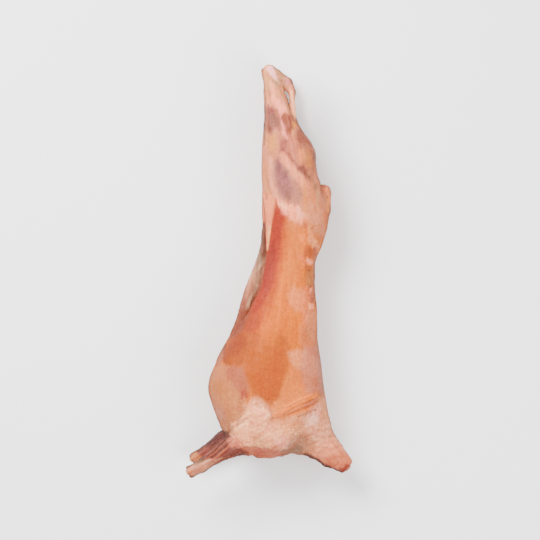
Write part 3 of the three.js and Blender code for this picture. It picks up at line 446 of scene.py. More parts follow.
# Lines: screen colour, strength, how far the line stands proud in mm, and its points as s, t, half width and
# so on
LINES = [
    # painted shade: a dark line along the outline of the hock's knob
    ((140, 116, 108), 0.5, 0, [289, 79, 1, 292, 84, 1]),
    ((150, 116, 92), 0.55, -0.5, [277, 79, 0.7, 281, 81, 0.8, 284, 84, 0.8, 284, 87, 0.7]),
    ((160, 130, 100), 0.5, -0.4, [273, 82, 0.7, 277, 84, 0.7, 280, 89, 0.6]),
    ((196, 146, 120), 0.5, 0, [280, 91, 0.8, 284, 99, 0.8, 287, 107, 0.7]),
    ((198, 156, 132), 0.45, 0, [268, 86, 0.8, 270, 96, 0.8, 271, 104, 0.7]),
    ((120, 96, 84), 0.6, 0.6, [261.5, 69, 0.9, 262.5, 71.5, 0.9]),
    ((176, 138, 128), 0.6, 0.4, [293, 88, 1.2, 295.5, 92, 1.4, 295, 97, 1]),
    ((234, 204, 188), 0.8, 0.5, [291, 92, 1.3, 292.5, 104, 1.5, 295.5, 118, 1.3]),
    # painted shade: the dark gap of the slit behind the hock
    ((120, 104, 78), 0.85, -0.6, [283, 88, 1, 285, 91, 1.2, 286, 97, 0.8, 288.5, 105, 0.8, 290.5, 111, 0.8]),
    # the next four: painted shade, dark lines along the outlines of the leg and the hock
    ((150, 120, 104), 0.8, 0, [265, 96, 1, 265.2, 110, 1.3, 265, 122, 1.6, 264.8, 134, 1.4, 264, 146, 0.8]),
    ((148, 122, 108), 0.6, 0, [261.6, 66, 0.9, 261.4, 74, 0.9, 263.2, 84, 0.9, 264.6, 93, 0.9]),
    ((128, 102, 90), 0.7, 0, [290.8, 80, 0.8, 292.4, 84, 0.9]),
    ((132, 106, 94), 0.65, 0, [294.2, 90.5, 0.8, 295.4, 94.5, 0.9]),
    ((234, 194, 186), 0.9, 0.6, [279, 110, 1.8, 279.5, 114, 0.9, 280.5, 119, 0.5, 282, 124, 1.1,
     283.5, 128, 1.6, 284.5, 133, 1.7, 287, 139, 1.4]),
    ((182, 124, 108), 0.5, -1.8, [283.5, 121, 0.8, 285, 127, 0.9, 287, 134, 0.9, 288, 138, 0.8]),
    ((180, 118, 104), 0.5, -1.6, [277, 109, 0.8, 280, 121, 0.9, 281.5, 131, 0.9]),
    ((176, 106, 88), 0.6, -1.8, [289, 117, 0.9, 291, 124, 0.9, 291, 131, 1, 289.5, 139, 0.8]),
    # painted shade: a dark line along the outline behind the tendon
    ((120, 100, 80), 0.5, -0.6, [296.5, 119, 0.9, 298.5, 126, 1, 301, 131, 0.9]),
    ((186, 124, 112), 0.5, -1.8, [283, 150, 1.2, 288, 154, 1.4, 293, 161, 1.6, 298, 168, 1.8, 303, 172, 2,
     311, 178, 1.5]),
    ((206, 128, 110), 0.8, -0.6, [264.5, 193, 1, 267, 196, 1.2, 266, 199, 1]),
    ((206, 136, 116), 0.4, -0.6, [268, 176, 0.8, 270, 190, 0.8, 274, 199, 0.8]),
    # painted shade in the crease between the tail and the thigh
    ((176, 120, 100), 0.5, -1.8, [318.5, 180, 0.9, 321, 186, 1, 324, 192, 1, 327, 197.5, 1]),
    ((200, 98, 80), 0.6, -1.4, [276, 199, 0.8, 274.6, 208, 0.9, 271.8, 226, 0.8, 268.5, 246, 0.8]),
    # painted shadow: a dark line where the near flap's edge lies over the far flap
    ((152, 84, 70), 0.5, 0, [266, 253, 0.7, 264.5, 266, 0.9, 261.5, 282, 1, 259, 288, 0.8]),
    ((244, 208, 190), 0.6, 0.4, [270.5, 226, 0.6, 268.5, 238, 0.6, 267, 250, 0.6]),
    ((232, 168, 132), 0.35, 0.3, [281, 280, 1.6, 279, 310, 1.8, 276, 330, 1.6]),
    ((222, 142, 102), 0.35, -0.3, [286, 285, 1.6, 286, 312, 1.8, 284, 334, 1.6]),
    ((230, 160, 122), 0.35, 0.3, [268, 306, 1.6, 262, 330, 2, 260, 350, 1.6]),
    ((232, 166, 128), 0.3, 0.2, [298, 310, 1.6, 300, 330, 1.6, 298, 346, 1.4]),
    # painted shade: a dark line along the back's outline
    ((176, 138, 128), 0.75, 0, [315.5, 253, 1.2, 314.4, 262, 1.4, 313.8, 276, 1.5, 314, 290, 1.5,
     315.6, 303, 1]),
    # folds over the shoulder, with painted shade in their grooves and painted highlights along their ridges
    ((206, 124, 86), 0.7, -2.6, [270.5, 419.5, 1.1, 280, 416, 1.2, 294, 411.5, 1.1, 310, 405.5, 1,
     316, 401, 0.8]),
    ((236, 170, 132), 0.7, 2.4, [274, 414.5, 1.2, 287, 408.5, 1.3, 301, 402.5, 1.3, 316, 395, 1.1]),
    ((208, 130, 94), 0.6, -2.0, [284, 413, 0.7, 292, 407.5, 0.9, 302, 403, 0.9, 313, 398.5, 0.8]),
    ((238, 182, 148), 0.6, 1.4, [284, 405.5, 0.9, 298, 399.5, 1, 312, 393.5, 0.9]),
    ((236, 168, 128), 0.6, 1.8, [290, 415, 0.9, 304, 410, 1, 316, 404.5, 0.9]),
    ((204, 124, 88), 0.7, -1.8, [298, 416, 0.8, 308, 412.5, 0.9, 316, 409, 0.8]),
    ((208, 140, 112), 0.5, -1.6, [268, 404, 0.9, 271.5, 411, 1, 272, 418, 0.9]),
    # shoulder and neck
    ((234, 204, 188), 0.6, 0.5, [233, 424, 0.8, 240, 419, 1, 248, 413, 1]),
    ((234, 204, 188), 0.5, 0.5, [235, 429, 0.8, 244, 423.5, 1, 252, 418, 1]),
    ((236, 208, 194), 0.5, 0.5, [256, 424, 0.8, 264, 419, 1.1, 270, 413, 0.8]),
    ((196, 150, 130), 0.5, -0.6, [238, 424.5, 0.7, 246, 419.5, 0.8, 251, 415, 0.7]),
    ((204, 150, 124), 0.5, -0.8, [238, 421, 0.8, 246, 417, 0.8, 254, 424, 0.8]),
    ((238, 202, 186), 0.4, 0, [318, 444, 2.5, 325, 445.5, 3.5, 331, 446.5, 2.5]),
    ((206, 150, 126), 0.35, -0.6, [312, 421, 0.8, 320, 425, 0.9, 329, 421, 0.8]),
    ((206, 150, 126), 0.35, -0.6, [313, 428, 0.8, 322, 431, 0.9, 333, 427, 0.8]),
    ((204, 146, 122), 0.35, -0.6, [316, 435, 0.8, 326, 438, 0.9, 337, 433, 0.8]),
    ((236, 200, 186), 0.35, 0.4, [312, 424.5, 0.9, 321, 428, 1, 331, 424, 0.9]),
    ((236, 200, 186), 0.35, 0.4, [315, 431.5, 0.9, 324, 434.5, 1, 335, 430, 0.9]),
    ((236, 198, 182), 0.35, 0.4, [318, 439, 0.9, 328, 441.5, 1, 338, 437, 0.9]),
    ((200, 128, 106), 0.5, -1.4, [322, 447, 0.8, 332, 449, 0.9, 343, 445, 0.8]),
    # painted shade: a dark line along the neck's lower outline
    ((92, 62, 54), 0.85, 0, [301, 452, 0.9, 312, 457.5, 1.4, 324, 464.5, 1.5, 338, 471, 1.2]),
    # fore shanks
    # the next two: painted shade, dark lines in the notch between the shanks' ends and round the lower one
    ((120, 96, 82), 0.7, 0, [190, 455, 0.7, 189, 459, 0.7, 191, 463, 0.7]),
    ((120, 96, 82), 0.7, 0, [189, 465, 0.7, 186, 470, 0.8, 189, 474.5, 0.7, 196, 475.5, 0.7, 206, 471, 0.6]),
    ((222, 146, 116), 0.6, 0, [190, 469, 1.4, 191, 472, 1.2]),
    ((206, 142, 122), 0.85, 0.9, [205, 458.5, 0.6, 214, 453, 0.6, 222, 445, 0.6, 228, 438, 0.6]),
    ((196, 126, 112), 0.75, 0.8, [208, 453.5, 0.5, 216, 446.5, 0.5, 223, 439, 0.5]),
    # painted shade in the gap between the shanks
    ((104, 56, 50), 0.6, -0.8, [206, 455.5, 0.6, 215, 450, 0.6, 223, 442, 0.6, 229, 435, 0.6]),
    ((176, 112, 104), 0.6, 0.7, [205, 450, 0.5, 214, 443, 0.5, 222, 434, 0.5]),
    ((214, 150, 126), 0.85, 0.9, [210, 461, 0.6, 219, 455, 0.7, 228, 446, 0.7, 233, 442, 0.7]),
    ((206, 140, 122), 0.6, 0.8, [220, 460, 0.6, 231, 456.5, 0.6, 241, 451.5, 0.6]),
    # the next two: painted shade in the gap between the shanks
    ((108, 54, 46), 0.6, -1.0, [211, 457.5, 0.6, 220, 450.5, 0.7, 231, 441, 0.7]),
    ((116, 66, 60), 0.5, -0.8, [203, 453, 0.5, 212, 446, 0.6, 222, 436.5, 0.6]),
    ((150, 140, 96), 0.7, 0, [199, 461, 0.8, 204, 460, 0.9]),
]


def grouped(numbers, size):
    """A flat row of numbers as tuples of the given size."""
    return list(zip(*[iter(numbers)] * size))


AREAS = [(*look, grouped(outline, 2)) for *look, outline in AREAS]
LINES = [(*look, grouped(points, 3)) for *look, points in LINES]

# Muscles and hollows in the side view: s, t, reach across, reach down, turn, height in mm
LUMPS = [
    (272, 119, 5, 13, 8, 1.8), (287, 124, 4, 10, 12, 1.6), (306, 155, 7, 13, 18, 3.0),
    (268, 148, 7, 16, 0, 1.2), (285, 181, 7, 18, 18, -2.0), (307, 196, 9, 20, 8, 2.2),
    (272, 182, 4, 20, 6, 1.6), (292, 166, 4, 12, 35, 1.6), (319, 238, 5, 9, 10, 1.8),
    (296, 250, 12, 26, 4, 1.0), (275, 252, 6, 34, -8, -1.6), (300, 330, 14, 40, 0, 1),
    (262, 372, 20, 26, 0, 0.8), (224, 396, 14, 22, 12, 1.6), (256, 408, 12, 8, -15, 1.4),
    (296, 430, 18, 12, 0, 1.6), (326, 434, 9, 9, 40, 1), (246, 436, 9, 7, 0, 1.4), (288, 83, 4, 4, 0, 1.0),
    (294, 92, 2.2, 4, 0, 1.0), (238, 376, 10, 8, 20, 1.2), (276, 402, 8, 6, 30, -1.4),
]

# The same on walls that the side view sees edge on: the slit behind the hock, which is narrow, the hock, the
# tail, and the front of the chest down to the notch below the neck
EDGE_LUMPS = [
    (287, 99, 6, 9, 0, 2.6), (285, 91, 5, 4, 0, 2.5), (261, 72, 4, 6, 0, 2.5), (319, 183, 3, 3, 0, 3.0),
    (332, 194, 4, 5, 0, 2.5), (262, 457, 12, 6, 0, 7.5), (291, 454, 6, 5, 0, -4.5), (316, 320, 5, 30, 0, 1.5),
]

# Where the fat lies in torn, feathery sheets over the meat
FAT_SHEETS = [
    [(243, 402), (248, 404), (253, 400), (260, 402), (266, 404), (271, 410), (273, 420), (284, 418),
     (300, 414), (314, 409), (319, 399), (323, 394), (332, 402), (334, 424), (322, 444), (300, 446),
     (276, 448), (256, 446), (244, 444), (231, 437), (230, 428), (238, 418), (243, 410)],
    [(276, 199), (281, 203), (286, 205), (292, 205), (298, 207), (304, 213), (305, 220), (300, 224),
     (294, 222), (287, 217), (281, 211)],
]

# The belly's near flap: its edge in the side view as (t, s). The far flap: its rim as (s, t, half width), and
# the tones of its inner face as (t, screen colour), darkest at the top, where they paint the near flap's
# shade
FLAP_EDGE = [
    (221, 264.4), (240, 265.6), (252, 266.2), (262, 265), (277, 262.6), (289, 259.8), (300, 254.6),
    (310, 249.4), (320, 244.4), (330, 239),
]
FAR_RIM = [
    (262.4, 206, 0.7), (262.6, 222, 0.7), (261.2, 238, 0.7), (257.8, 254, 0.8), (251.9, 270, 0.8),
    (246.2, 286, 0.8), (241.2, 302, 0.8), (237, 318, 0.8), (230, 334, 0.8),
]
FLAP_TONES = [
    (224, (176, 124, 112)), (244, (176, 132, 116)), (254, (184, 156, 138)), (263, (192, 166, 148)),
    (270, (212, 184, 168)), (280, (220, 190, 174)), (292, (210, 166, 148)), (304, (198, 140, 120)),
    (330, (190, 124, 106)),
]

# the start of the neck's underside, painted dark as shade, t for each s, and the way that this underside
# faces, in x and y
UNDER_NECK = ((300, 312, 324, 338, 346, 352), (452, 458, 465, 471.5, 476, 482))
NECK_DOWN = (-0.46, -0.89)

RIB_PITCH = 27  # mm between ribs along the back
RIB_SLOPE = 0.35  # how much further towards the hind legs a rib is for each mm towards the belly


def ribs():
    """From -1 between the ribs to 1 on them, faded out past the first and the last."""
    along = P[:, 1] - RIB_SLOPE * (80 - P[:, 0]) + 4 * COARSE[0]
    wave = np.cos(2 * math.pi * along / RIB_PITCH)
    fade = smoothstep(-385, -350, along) * (1 - smoothstep(-90, -50, along))
    return wave * fade * smoothstep(-120, -70, P[:, 0] - 0.3 * (P[:, 1] + 300))


RIBS = ribs()
SPINE = np.exp(-((ABOVE_MID / 15) ** 2)) * smoothstep(20, 60, P[:, 0])
LOINS = sum(np.exp(-(((ABOVE_MID - side) / 15) ** 2)) for side in (-30, 30)) * smoothstep(20, 55, P[:, 0])
LOINS *= smoothstep(-80, -20, P[:, 1]) * (1 - smoothstep(150, 190, P[:, 1]))

# steps beyond the near flap's edge, and the far flap's inner face close to that edge, where it is in shade
PAST_EDGE = np.interp(T, *np.transpose(FLAP_EDGE)) - S
UNDER_FLAP = smoothstep(8, 2, PAST_EDGE) * smoothstep(252, 268, T) * smoothstep(312, 297, T) * (P[:, 2] < MID)

FORE_SHANKS = smoothstep(426, 436, T) * smoothstep(250, 242, S)
# how far the painted brown shade reaches round from the silhouette, most on thin parts
EDGE_SHADE_REACH = 0.49 + 0.42 * FORE_SHANKS + 0.27 * smoothstep(150, 120, T)


def by_height(rows):
    """Colours from rows of (t, screen colour)."""
    levels = np.array([albedo(*colour) for _, colour in rows])
    return np.stack([np.interp(WANDER_T, [t for t, _ in rows], level) for level in levels.T], 1)


def painted():
    """The colour of each vertex, in linear light."""
    tone = by_height(BASE)

    def lay(mask, colour, strength):
        share = (np.clip(mask, 0, 1) * strength)[:, None]
        tone[:] = tone * (1 - share) + albedo(*colour) * share

    for colour, strength, soft, wander, _, outline in AREAS:
        lay(smoothstep(-soft, soft, depth_in(outline, wander)), colour, strength)
    for colour, strength, _, rows in LINES:
        lay(near_line(rows), colour, strength)
    streaks = np.outer(0.5 * STREAKY + 0.5 * FINE[0], (0.1, 0.15, 0.15))
    tone *= 1 + streaks + np.outer(GRAINY, (0.06, 0.14, 0.16))
    tone *= 1 + np.outer(COARSE[1], (0.02, 0.06, 0.1))

    # patches of fat on the back, and the breast with a pale line of fat along its middle
    lay(EDGE_ON * smoothstep(296, 306, S) * smoothstep(-0.5, 0.4, FINE[1] + COARSE[0]), (226, 184, 160), 0.5)
    breast = EDGE_ON * smoothstep(250, 240, S) * smoothstep(326, 342, T) * smoothstep(430, 418, T)
    lay(breast, (208, 146, 118), 0.6)
    midline = smoothstep(20, 6, np.abs(ABOVE_MID + 6 * COARSE[1]))
    lay(breast * midline, (226, 182, 158), 0.55)

    # painted shade: a brown darkening, in patches, where the surface turns edge on to the side view; and the
    # creases and wisps over the shoulder
    edge = smoothstep(EDGE_SHADE_REACH, EDGE_SHADE_REACH - 0.5, np.abs(N[:, 2]))
    edge = edge * (0.85 + 0.5 * FINE[0] + 0.9 * COARSE[0])
    edge = np.clip(edge, 0, 1) * (1 - 0.5 * smoothstep(438, 450, T) * smoothstep(240, 252, S))
    lay(edge, (132, 98, 90), 0.68)
    tone *= 1 + np.outer(CREASES * smoothstep(400, 420, WANDER_T), (0.06, 0.16, 0.2))
    tone *= 1 + np.outer(WISPS * smoothstep(392, 408, T) * smoothstep(232, 244, S), (0.1, 0.2, 0.22))

    # the front of the chest, in a mixture of colours, and painted shade on the underside of the neck
    front = EDGE_ON * smoothstep(434, 442, T) * smoothstep(230, 244, S) * smoothstep(322, 310, S)
    lay(front * smoothstep(-2.8, -0.6, COARSE[0] + 0.7 * FINE[1]), (212, 154, 134), 0.85)
    lay(front * smoothstep(0.0, 0.6, 0.7 * FINE[0] - COARSE[1]), (172, 98, 86), 0.6)
    facing_down = smoothstep(0.74, 0.94, NECK_DOWN[0] * N[:, 0] + NECK_DOWN[1] * N[:, 1] + 0.08 * FINE[0])
    under = np.maximum(smoothstep(-0.5, 1.5, T - np.interp(S, *UNDER_NECK)), facing_down)
    lay(under * smoothstep(298, 314, S) * smoothstep(440, 450, T), (136, 84, 74), 0.82)
    outside = tone.copy()

    # the emptied body: red muscle between paler ribs under a thin membrane, with fat along the spine
    tone[:] = albedo(222, 170, 156)
    lay(smoothstep(-0.2, 0.9, -RIBS), (206, 124, 108), 0.6)
    lay(smoothstep(-60, -10, P[:, 1]), (210, 160, 148), 0.5)
    lay(LOINS, (190, 104, 90), 0.6)
    lay(SPINE, (232, 196, 180), 0.7)
    lay(smoothstep(0.1, 0.8, FINE[1]), (232, 196, 182), 0.4)
    tone *= (1 + 0.08 * FINE[0] + 0.06 * GRAINY)[:, None]
    tone[:] = outside * OUTER[:, None] + tone * INNER[:, None]

    # the far flap's inner face and rim, which show beside the near flap; the face with painted shade at its
    # top
    beside = smoothstep(-4, -2, PAST_EDGE) * smoothstep(220, 225, T)
    beside *= (1 - smoothstep(322, 334, T)) * smoothstep(MID + 30, MID + 5, P[:, 2])
    beside *= np.maximum(smoothstep(-0.5, -0.1, N[:, 2]), INNER)
    flap = by_height(FLAP_TONES)
    flap *= 1 + np.outer(STREAKY, (0.3, 0.45, 0.5)) + np.outer(GRAINY, (0.06, 0.1, 0.1))
    # where the painted edge shade lies, it mostly stays over these tones
    tone += (flap - tone) * (beside * (1 - 0.7 * edge * OUTER))[:, None]
    # painted light: pale paint over the membrane where the near flap shades it, painted shade close to its
    # edge, and painted light again higher up
    lay(beside * UNDER_FLAP, (245, 219, 208), 0.88)
    lay(beside * UNDER_FLAP * smoothstep(4.5, 1.5, PAST_EDGE), (216, 146, 128), 0.7)
    higher = smoothstep(5.5, 3.5, PAST_EDGE) * smoothstep(242, 250, T) * smoothstep(262, 254, T)
    lay(beside * higher, (206, 168, 152), 0.5)

    # painted shade: dark lines along the rims of both flaps
    lay(near_line(FAR_RIM) * (P[:, 2] < MID + 20), (122, 98, 86), 0.55)
    rim = near_line([(s, t, 1.2) for t, s in FLAP_EDGE]) * smoothstep(0.8, 0.4, N[:, 2]) * (P[:, 2] > MID)
    tone += (albedo(186, 100, 80) - tone) * 0.8 * rim[:, None]
    return np.clip(tone, DARKEST, PALEST)


def relief():
    """How far each vertex stands out along its normal, in mm."""
    sideways = smoothstep(0.15, 0.6, np.abs(N[:, 2]))
    height = 1.0 * COARSE[0] + 0.5 * FINE[0] + 0.25 * GRAINY
    for _, _, soft, wander, rise, outline in AREAS:
        if rise:
            height += rise * smoothstep(-soft, soft, depth_in(outline, wander)) * OUTER
    for _, _, rise, rows in LINES:
        if rise:
            height += rise * near_line(rows) * OUTER * (0.35 + 0.65 * sideways)
    for s, t, across, down, turn, rise in LUMPS:
        height += rise * lump(s, t, across, down, turn) * sideways * OUTER
    for s, t, across, down, turn, rise in EDGE_LUMPS:
        height += rise * lump(s, t, across, down, turn) * smoothstep(0.7, 0.3, np.abs(N[:, 2]))
    height += 0.5 * RIBS * OUTER * sideways
    height += INNER * (2.0 * RIBS + 5 * SPINE + 4 * LOINS * (1 - SPINE))
    rough = smoothstep(395, 420, WANDER_T) * OUTER
    height += rough * (0.8 * FINE[1] + 0.5 * GRAINY + 0.7 * CREASES)
    return height


tone = painted()
raised = P + N * relief()[:, None]
raised[:, 2] = np.maximum(raised[:, 2], 0)
move_points(mesh, raised)


FAT_REACH = 6  # steps on either side of a sheet's outline in which its depth is told
fat_depth = np.max([np.clip(depth_in(outline), -FAT_REACH, FAT_REACH) for outline in FAT_SHEETS], axis=0)
fat_depth = fat_depth * OUTER - FAT_REACH * INNER

# Muscle fibres show most on the legs and the fore shanks, and flecks in a few areas.
strength = np.interp(T, [60, 105, 135, 200, 225, 400, 430, 445], [0.25, 0.4, 0.4, 0.3, 0.25, 0.2, 0.25, 0.4])
fibre = (strength + 0.55 * FORE_SHANKS) * (OUTER + 0.4 * INNER)
SPECKLE_AREAS = [
    [(303, 222), (324, 222), (324, 240), (316, 258), (317, 308), (322, 345), (312, 348), (304, 335),
     (304, 260)],
    [(296, 352), (322, 350), (326, 398), (316, 398), (300, 372)],
    [(235, 398), (322, 398), (334, 440), (300, 450), (240, 446)],
]
speckle = np.max([smoothstep(-2, 2, depth_in(outline)) for outline in SPECKLE_AREAS], axis=0) * OUTER

# Muscle fibres run down the side view, fanning a little, and along the shanks and the neck.
lean = np.interp(T, [60, 200, 330, 400], [0.15, 0.1, -0.18, -0.1])
across = (S - ORIGIN) - lean * (T - ORIGIN)
down = T
shank = smoothstep(6, -2, S - 250) * smoothstep(424, 432, T)
shoulder = smoothstep(398, 412, T + 0.3 * (S - ORIGIN)) * smoothstep(236, 244, S)
neck = smoothstep(-4, 4, (S - 326) + 0.6 * (T - 446)) * smoothstep(418, 428, T)
for area, (across_s, across_t), (down_s, down_t) in (
    (shank, (0.53, 0.85), (0.85, -0.53)),
    (shoulder, (0.42, 0.9), (0.9, -0.42)),
    (neck, (0.8, -0.6), (0.6, 0.8)),
):
    across = across * (1 - area) + (across_s * S + across_t * T) * area
    down = down * (1 - area) + (down_s * S + down_t * T) * area
grain = np.stack([across * STEP, down * STEP * 0.08, P[:, 2] * 0.5], 1) / 1000
shine = 0.06 * smoothstep(0.1, 0.55, np.abs(N[:, 2]))

for name, kind, field, values in (
    ("tone", "FLOAT_COLOR", "color", np.c_[tone, np.ones(len(tone))]),
    ("fat_depth", "FLOAT", "value", fat_depth),
    ("fibre", "FLOAT", "value", fibre),
    ("speckle", "FLOAT", "value", speckle),
    ("shine", "FLOAT", "value", shine),
    ("grain", "FLOAT_VECTOR", "vector", grain),
):
    layer = mesh.attributes.new(name, kind, "POINT")
    layer.data.foreach_set(field, values.astype(np.float32).ravel())


# Materials

class Shader:
    """A material and short ways to add and join its nodes."""

    def __init__(self, name):
        self.material = bpy.data.materials.new(name)
        self.material.use_nodes = True
        self.tree = self.material.node_tree
        self.tree.nodes.clear()

    def add(self, kind, inputs=None, **settings):
        node = self.tree.nodes.new("ShaderNode" + kind)
        for key, value in settings.items():
            setattr(node, key, value)
        for key, value in (inputs or {}).items():
            if isinstance(value, bpy.types.NodeSocket):
                self.tree.links.new(value, node.inputs[key])
            else:
                node.inputs[key].default_value = value
        return node

    def number(self, name):
        return self.add("Attribute", attribute_name=name).outputs["Fac"]

    def noise(self, vector, scale, detail=3, roughness=0.55, distortion=0):
        inputs = {"Vector": vector, "Scale": scale, "Detail": detail, "Roughness": roughness}
        return self.add("TexNoise", {**inputs, "Distortion": distortion}).outputs["Fac"]

    def maths(self, operation, a, b=0.0, c=0.0):
        node = self.add("Math", operation=operation)
        for socket, value in zip(node.inputs, (a, b, c)):
            if isinstance(value, bpy.types.NodeSocket):
                self.tree.links.new(value, socket)
            else:
                socket.default_value = value
        return node.outputs[0]

    def ramp(self, value, low, high, to_low=0.0, to_high=1.0):
        inputs = {"Value": value, "From Min": low, "From Max": high, "To Min": to_low, "To Max": to_high}
        return self.add("MapRange", inputs, interpolation_type="SMOOTHSTEP").outputs["Result"]

    def mix(self, share, a, b, blend="MIX"):
        """b over a, or a times b, by a share."""
        node = self.add("Mix", data_type="RGBA", blend_type=blend)
        for index, value in ((0, share), (6, a), (7, b)):
            if isinstance(value, bpy.types.NodeSocket):
                self.tree.links.new(value, node.inputs[index])
            elif index == 0:
                node.inputs[index].default_value = value
            else:
                node.inputs[index].default_value = (*value, 1)
        return node.outputs[2]

    def tint(self, colour, value, low, high, factors, where=None):
        """The colour times the factors as a value goes from low to high, and the share of them."""
        share = self.ramp(value, low, high)
        if where is not None:
            share = self.maths("MULTIPLY", share, where)
        return self.mix(share, colour, factors, "MULTIPLY"), share

    def finish(self, colour, roughness, height, distance, strength=1.0, **constants):
        bump = self.add("Bump", {"Height": height, "Distance": distance, "Strength": strength})
        inputs = {"Base Color": colour, "Roughness": roughness, "Normal": bump.outputs["Normal"]}
        surface = self.add("BsdfPrincipled", inputs)
        for name, value in constants.items():
            surface.inputs[name.replace("_", " ").title().replace("Ior", "IOR")].default_value = value
        out = self.add("OutputMaterial")
        self.tree.links.new(surface.outputs["BSDF"], out.inputs["Surface"])
        return self.material


def flesh_material():
    sh = Shader("raw_flesh")
    where = sh.add("TexCoord").outputs["Object"]
    grain = sh.add("Attribute", attribute_name="grain").outputs["Vector"]
    tone = sh.add("Attribute", attribute_name="tone").outputs["Color"]
    fine = sh.noise(where, 420, 4, 0.6)
    small = sh.noise(where, 160, 4, 0.6, 0.4)
    middle = sh.noise(where, 55, 4, 0.6, 0.3)
    hue = sh.noise(where, 230, 3, 0.6, 0.5)
    streak = sh.noise(grain, 420, 3, 0.6, 0.2)
    broad_streak = sh.noise(grain, 130, 3, 0.55, 0.2)
    fibre = sh.number("fibre")

    # streaks and threads along the muscle, paler and yellower or darker and redder than the tone
    colour, _ = sh.tint(tone, broad_streak, 0.5, 0.7, (1.32, 1.48, 1.6), fibre)
    colour, _ = sh.tint(colour, broad_streak, 0.5, 0.3, (0.76, 0.56, 0.52), fibre)
    colour, _ = sh.tint(colour, streak, 0.46, 0.64, (1.1, 1.16, 1.2), fibre)
    colour, _ = sh.tint(colour, streak, 0.46, 0.34, (0.9, 0.8, 0.76), fibre)

    # torn, feathery sheets of fat with the meat showing in their gaps
    feather = sh.noise(grain, 240, 4, 0.6, 0.6)
    edge = sh.maths("MULTIPLY_ADD", sh.maths("SUBTRACT", feather, 0.5), 14.0, sh.number("fat_depth"))
    edge = sh.maths("MULTIPLY_ADD", sh.maths("SUBTRACT", middle, 0.5), 8.0, edge)
    fat = sh.ramp(edge, -1.5, 3.5)
    mottle = sh.maths("MULTIPLY_ADD", small, 0.5, sh.maths("MULTIPLY", feather, 0.5))
    pale = sh.maths("MULTIPLY", fat, sh.ramp(mottle, 0.5, 0.62))
    colour = sh.mix(pale, colour, (1.09, 1.17, 1.2), "MULTIPLY")
    gaps = sh.maths("MULTIPLY", fat, sh.ramp(mottle, 0.48, 0.38))
    colour = sh.mix(gaps, colour, (0.93, 0.85, 0.81), "MULTIPLY")

    # soft flecks of fat and membrane, and blots between them
    colour, fleck = sh.tint(colour, small, 0.52, 0.68, (1.1, 1.25, 1.35), sh.number("speckle"))
    colour, _ = sh.tint(colour, small, 0.44, 0.3, (0.9, 0.78, 0.74), sh.number("speckle"))
    # mottling of the whole surface, in shade and between yellow and pink
    for value, low, high, factors in (
        (hue, 0.35, 0.65, (1.03, 1.1, 1.0)), (hue, 0.65, 0.35, (0.99, 0.93, 1.06)),
        (fine, 0.5, 0.3, (0.76, 0.86, 0.88)), (fine, 0.5, 0.7, (1.22, 1.12, 1.1)),
        (small, 0.5, 0.3, (0.84, 0.9, 0.92)), (small, 0.5, 0.7, (1.12, 1.08, 1.06)),
    ):
        colour, _ = sh.tint(colour, value, low, high, factors)

    height = sh.maths("MULTIPLY_ADD", fine, 0.25, sh.maths("MULTIPLY", small, 0.5))
    height = sh.maths("MULTIPLY_ADD", fat, 0.5, height)
    height = sh.maths("MULTIPLY_ADD", sh.maths("MULTIPLY", broad_streak, fibre), 0.7, height)
    height = sh.maths("MULTIPLY_ADD", fleck, 0.4, height)
    roughness = sh.ramp(middle, 0.3, 0.7, 0.48, 0.62)
    material = sh.finish(colour, roughness, height, 0.0011, subsurface_weight=0.06, subsurface_scale=0.005)
    surface = next(node for node in sh.tree.nodes if node.type == "BSDF_PRINCIPLED")
    sh.tree.links.new(sh.number("shine"), surface.inputs["Specular IOR Level"])
    return material


def bone_material(name, pale, tanned):
    sh = Shader(name)
    where = sh.add("TexCoord").outputs["Object"]
    fine = sh.noise(where, 700, 4, 0.6)
    middle = sh.noise(where, 160, 3, 0.5)
    blood = sh.ramp(sh.noise(where, 240, 4, 0.65, 0.6), 0.52, 0.66)
    colour = sh.mix(sh.ramp(middle, 0.3, 0.7), albedo(*pale), albedo(*tanned))
    colour = sh.mix(sh.maths("MULTIPLY", blood, 0.35), colour, albedo(196, 112, 90))
    height = sh.maths("MULTIPLY_ADD", middle, 1.0, fine)
    return sh.finish(
        colour, sh.ramp(middle, 0.3, 0.7, 0.3, 0.45), height, 0.0006,
        specular_ior_level=0.3, subsurface_weight=0.06, subsurface_scale=0.003,
    )


FLESH = flesh_material()
BONE = bone_material("raw_bone", (232, 204, 184), (224, 182, 158))
STAINED_BONE = bone_material("stained_bone", (222, 164, 138), (206, 134, 110))
mesh.materials.append(FLESH)
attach(flesh, "root")
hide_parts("flesh")


# Bones

BONE_NODES = ["hock_bone_right", "hock_bone_left", "fore_bone_right", "fore_bone_left", "neck_bone"]


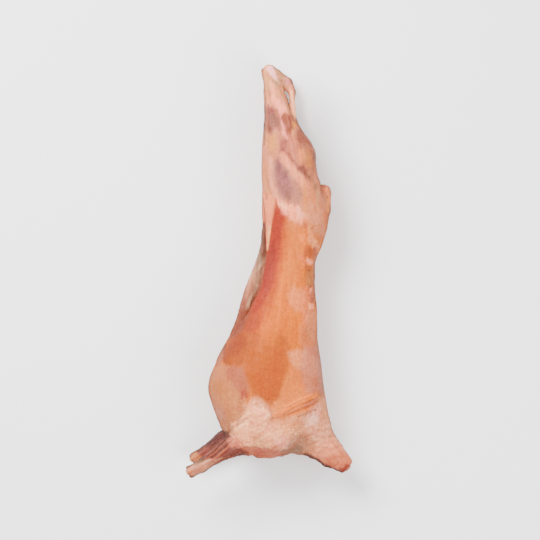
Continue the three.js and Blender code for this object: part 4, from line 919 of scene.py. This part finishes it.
def bone_piece(node):
    piece = remeshed(node, "carcass_" + node, BONE_VOXEL)
    shape = piece.data
    points = smoothed(points_of(shape), averager(shape), BONE_ROUNDS)
    move_points(shape, points)
    rough = 0.35 * fractal(points, 6, 3, 7) + 0.25 * fractal(points, 2.5, 2, 8)
    move_points(shape, points + normals_of(shape) * rough[:, None])
    shape.materials.append(STAINED_BONE if node == "neck_bone" else BONE)
    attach(piece, "root")
    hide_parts(node)


for node in BONE_NODES:
    bone_piece(node)


# Stage

def plane(name, size, colour):
    h = size / 2
    shape = bpy.data.meshes.new(name)
    shape.from_pydata([(-h, -h, 0), (h, -h, 0), (h, h, 0), (-h, h, 0)], [], [(0, 1, 2, 3)])
    thing = bpy.data.objects.new(name, shape)
    bpy.context.scene.collection.objects.link(thing)
    sh = Shader(name)
    where = sh.add("TexCoord").outputs["Object"]
    grainy = sh.noise(where, 30, 3)
    tinted = sh.mix(grainy, colour, tuple(c * 0.99 for c in colour))
    shape.materials.append(sh.finish(tinted, 0.8, grainy, 0.0001))
    return thing


floor = plane("floor", 12, (0.92, 0.92, 0.92))


def area_light(name, at, towards, size, power, colour=(1, 1, 1)):
    data = bpy.data.lights.new(name, "AREA")
    data.shape = "SQUARE"
    data.size = size
    data.energy = power
    data.color = colour
    light = bpy.data.objects.new(name, data)
    light.location = at
    light.rotation_euler = (Vector(towards) - Vector(at)).to_track_quat("-Z", "Y").to_euler()
    bpy.context.scene.collection.objects.link(light)


area_light("key", (-1.5, 1.6, 3.0), (0, 0, 0.1), 1.8, 360)
area_light("fill", (1.8, -1.4, 3.0), (0, 0, 0.1), 2.4, 150)

world = bpy.data.worlds.new("studio")
bpy.context.scene.world = world
world.use_nodes = True
background = world.node_tree.nodes["Background"]
background.inputs["Color"].default_value = (1, 1, 1, 1)
background.inputs["Strength"].default_value = 1.1

# Camera: straight down on the right side, 1.35 m across the frame at the middle plane
FRAME_WIDTH = 1.35
LENS = 500
SENSOR = 36
camera = bpy.data.objects.new("camera", bpy.data.cameras.new("camera"))
camera.data.lens = LENS
camera.data.sensor_width = SENSOR
camera.location = (0, 0, MID / 1000 + FRAME_WIDTH * LENS / SENSOR)
camera.data.clip_end = 100
bpy.context.scene.collection.objects.link(camera)
bpy.context.scene.camera = camera
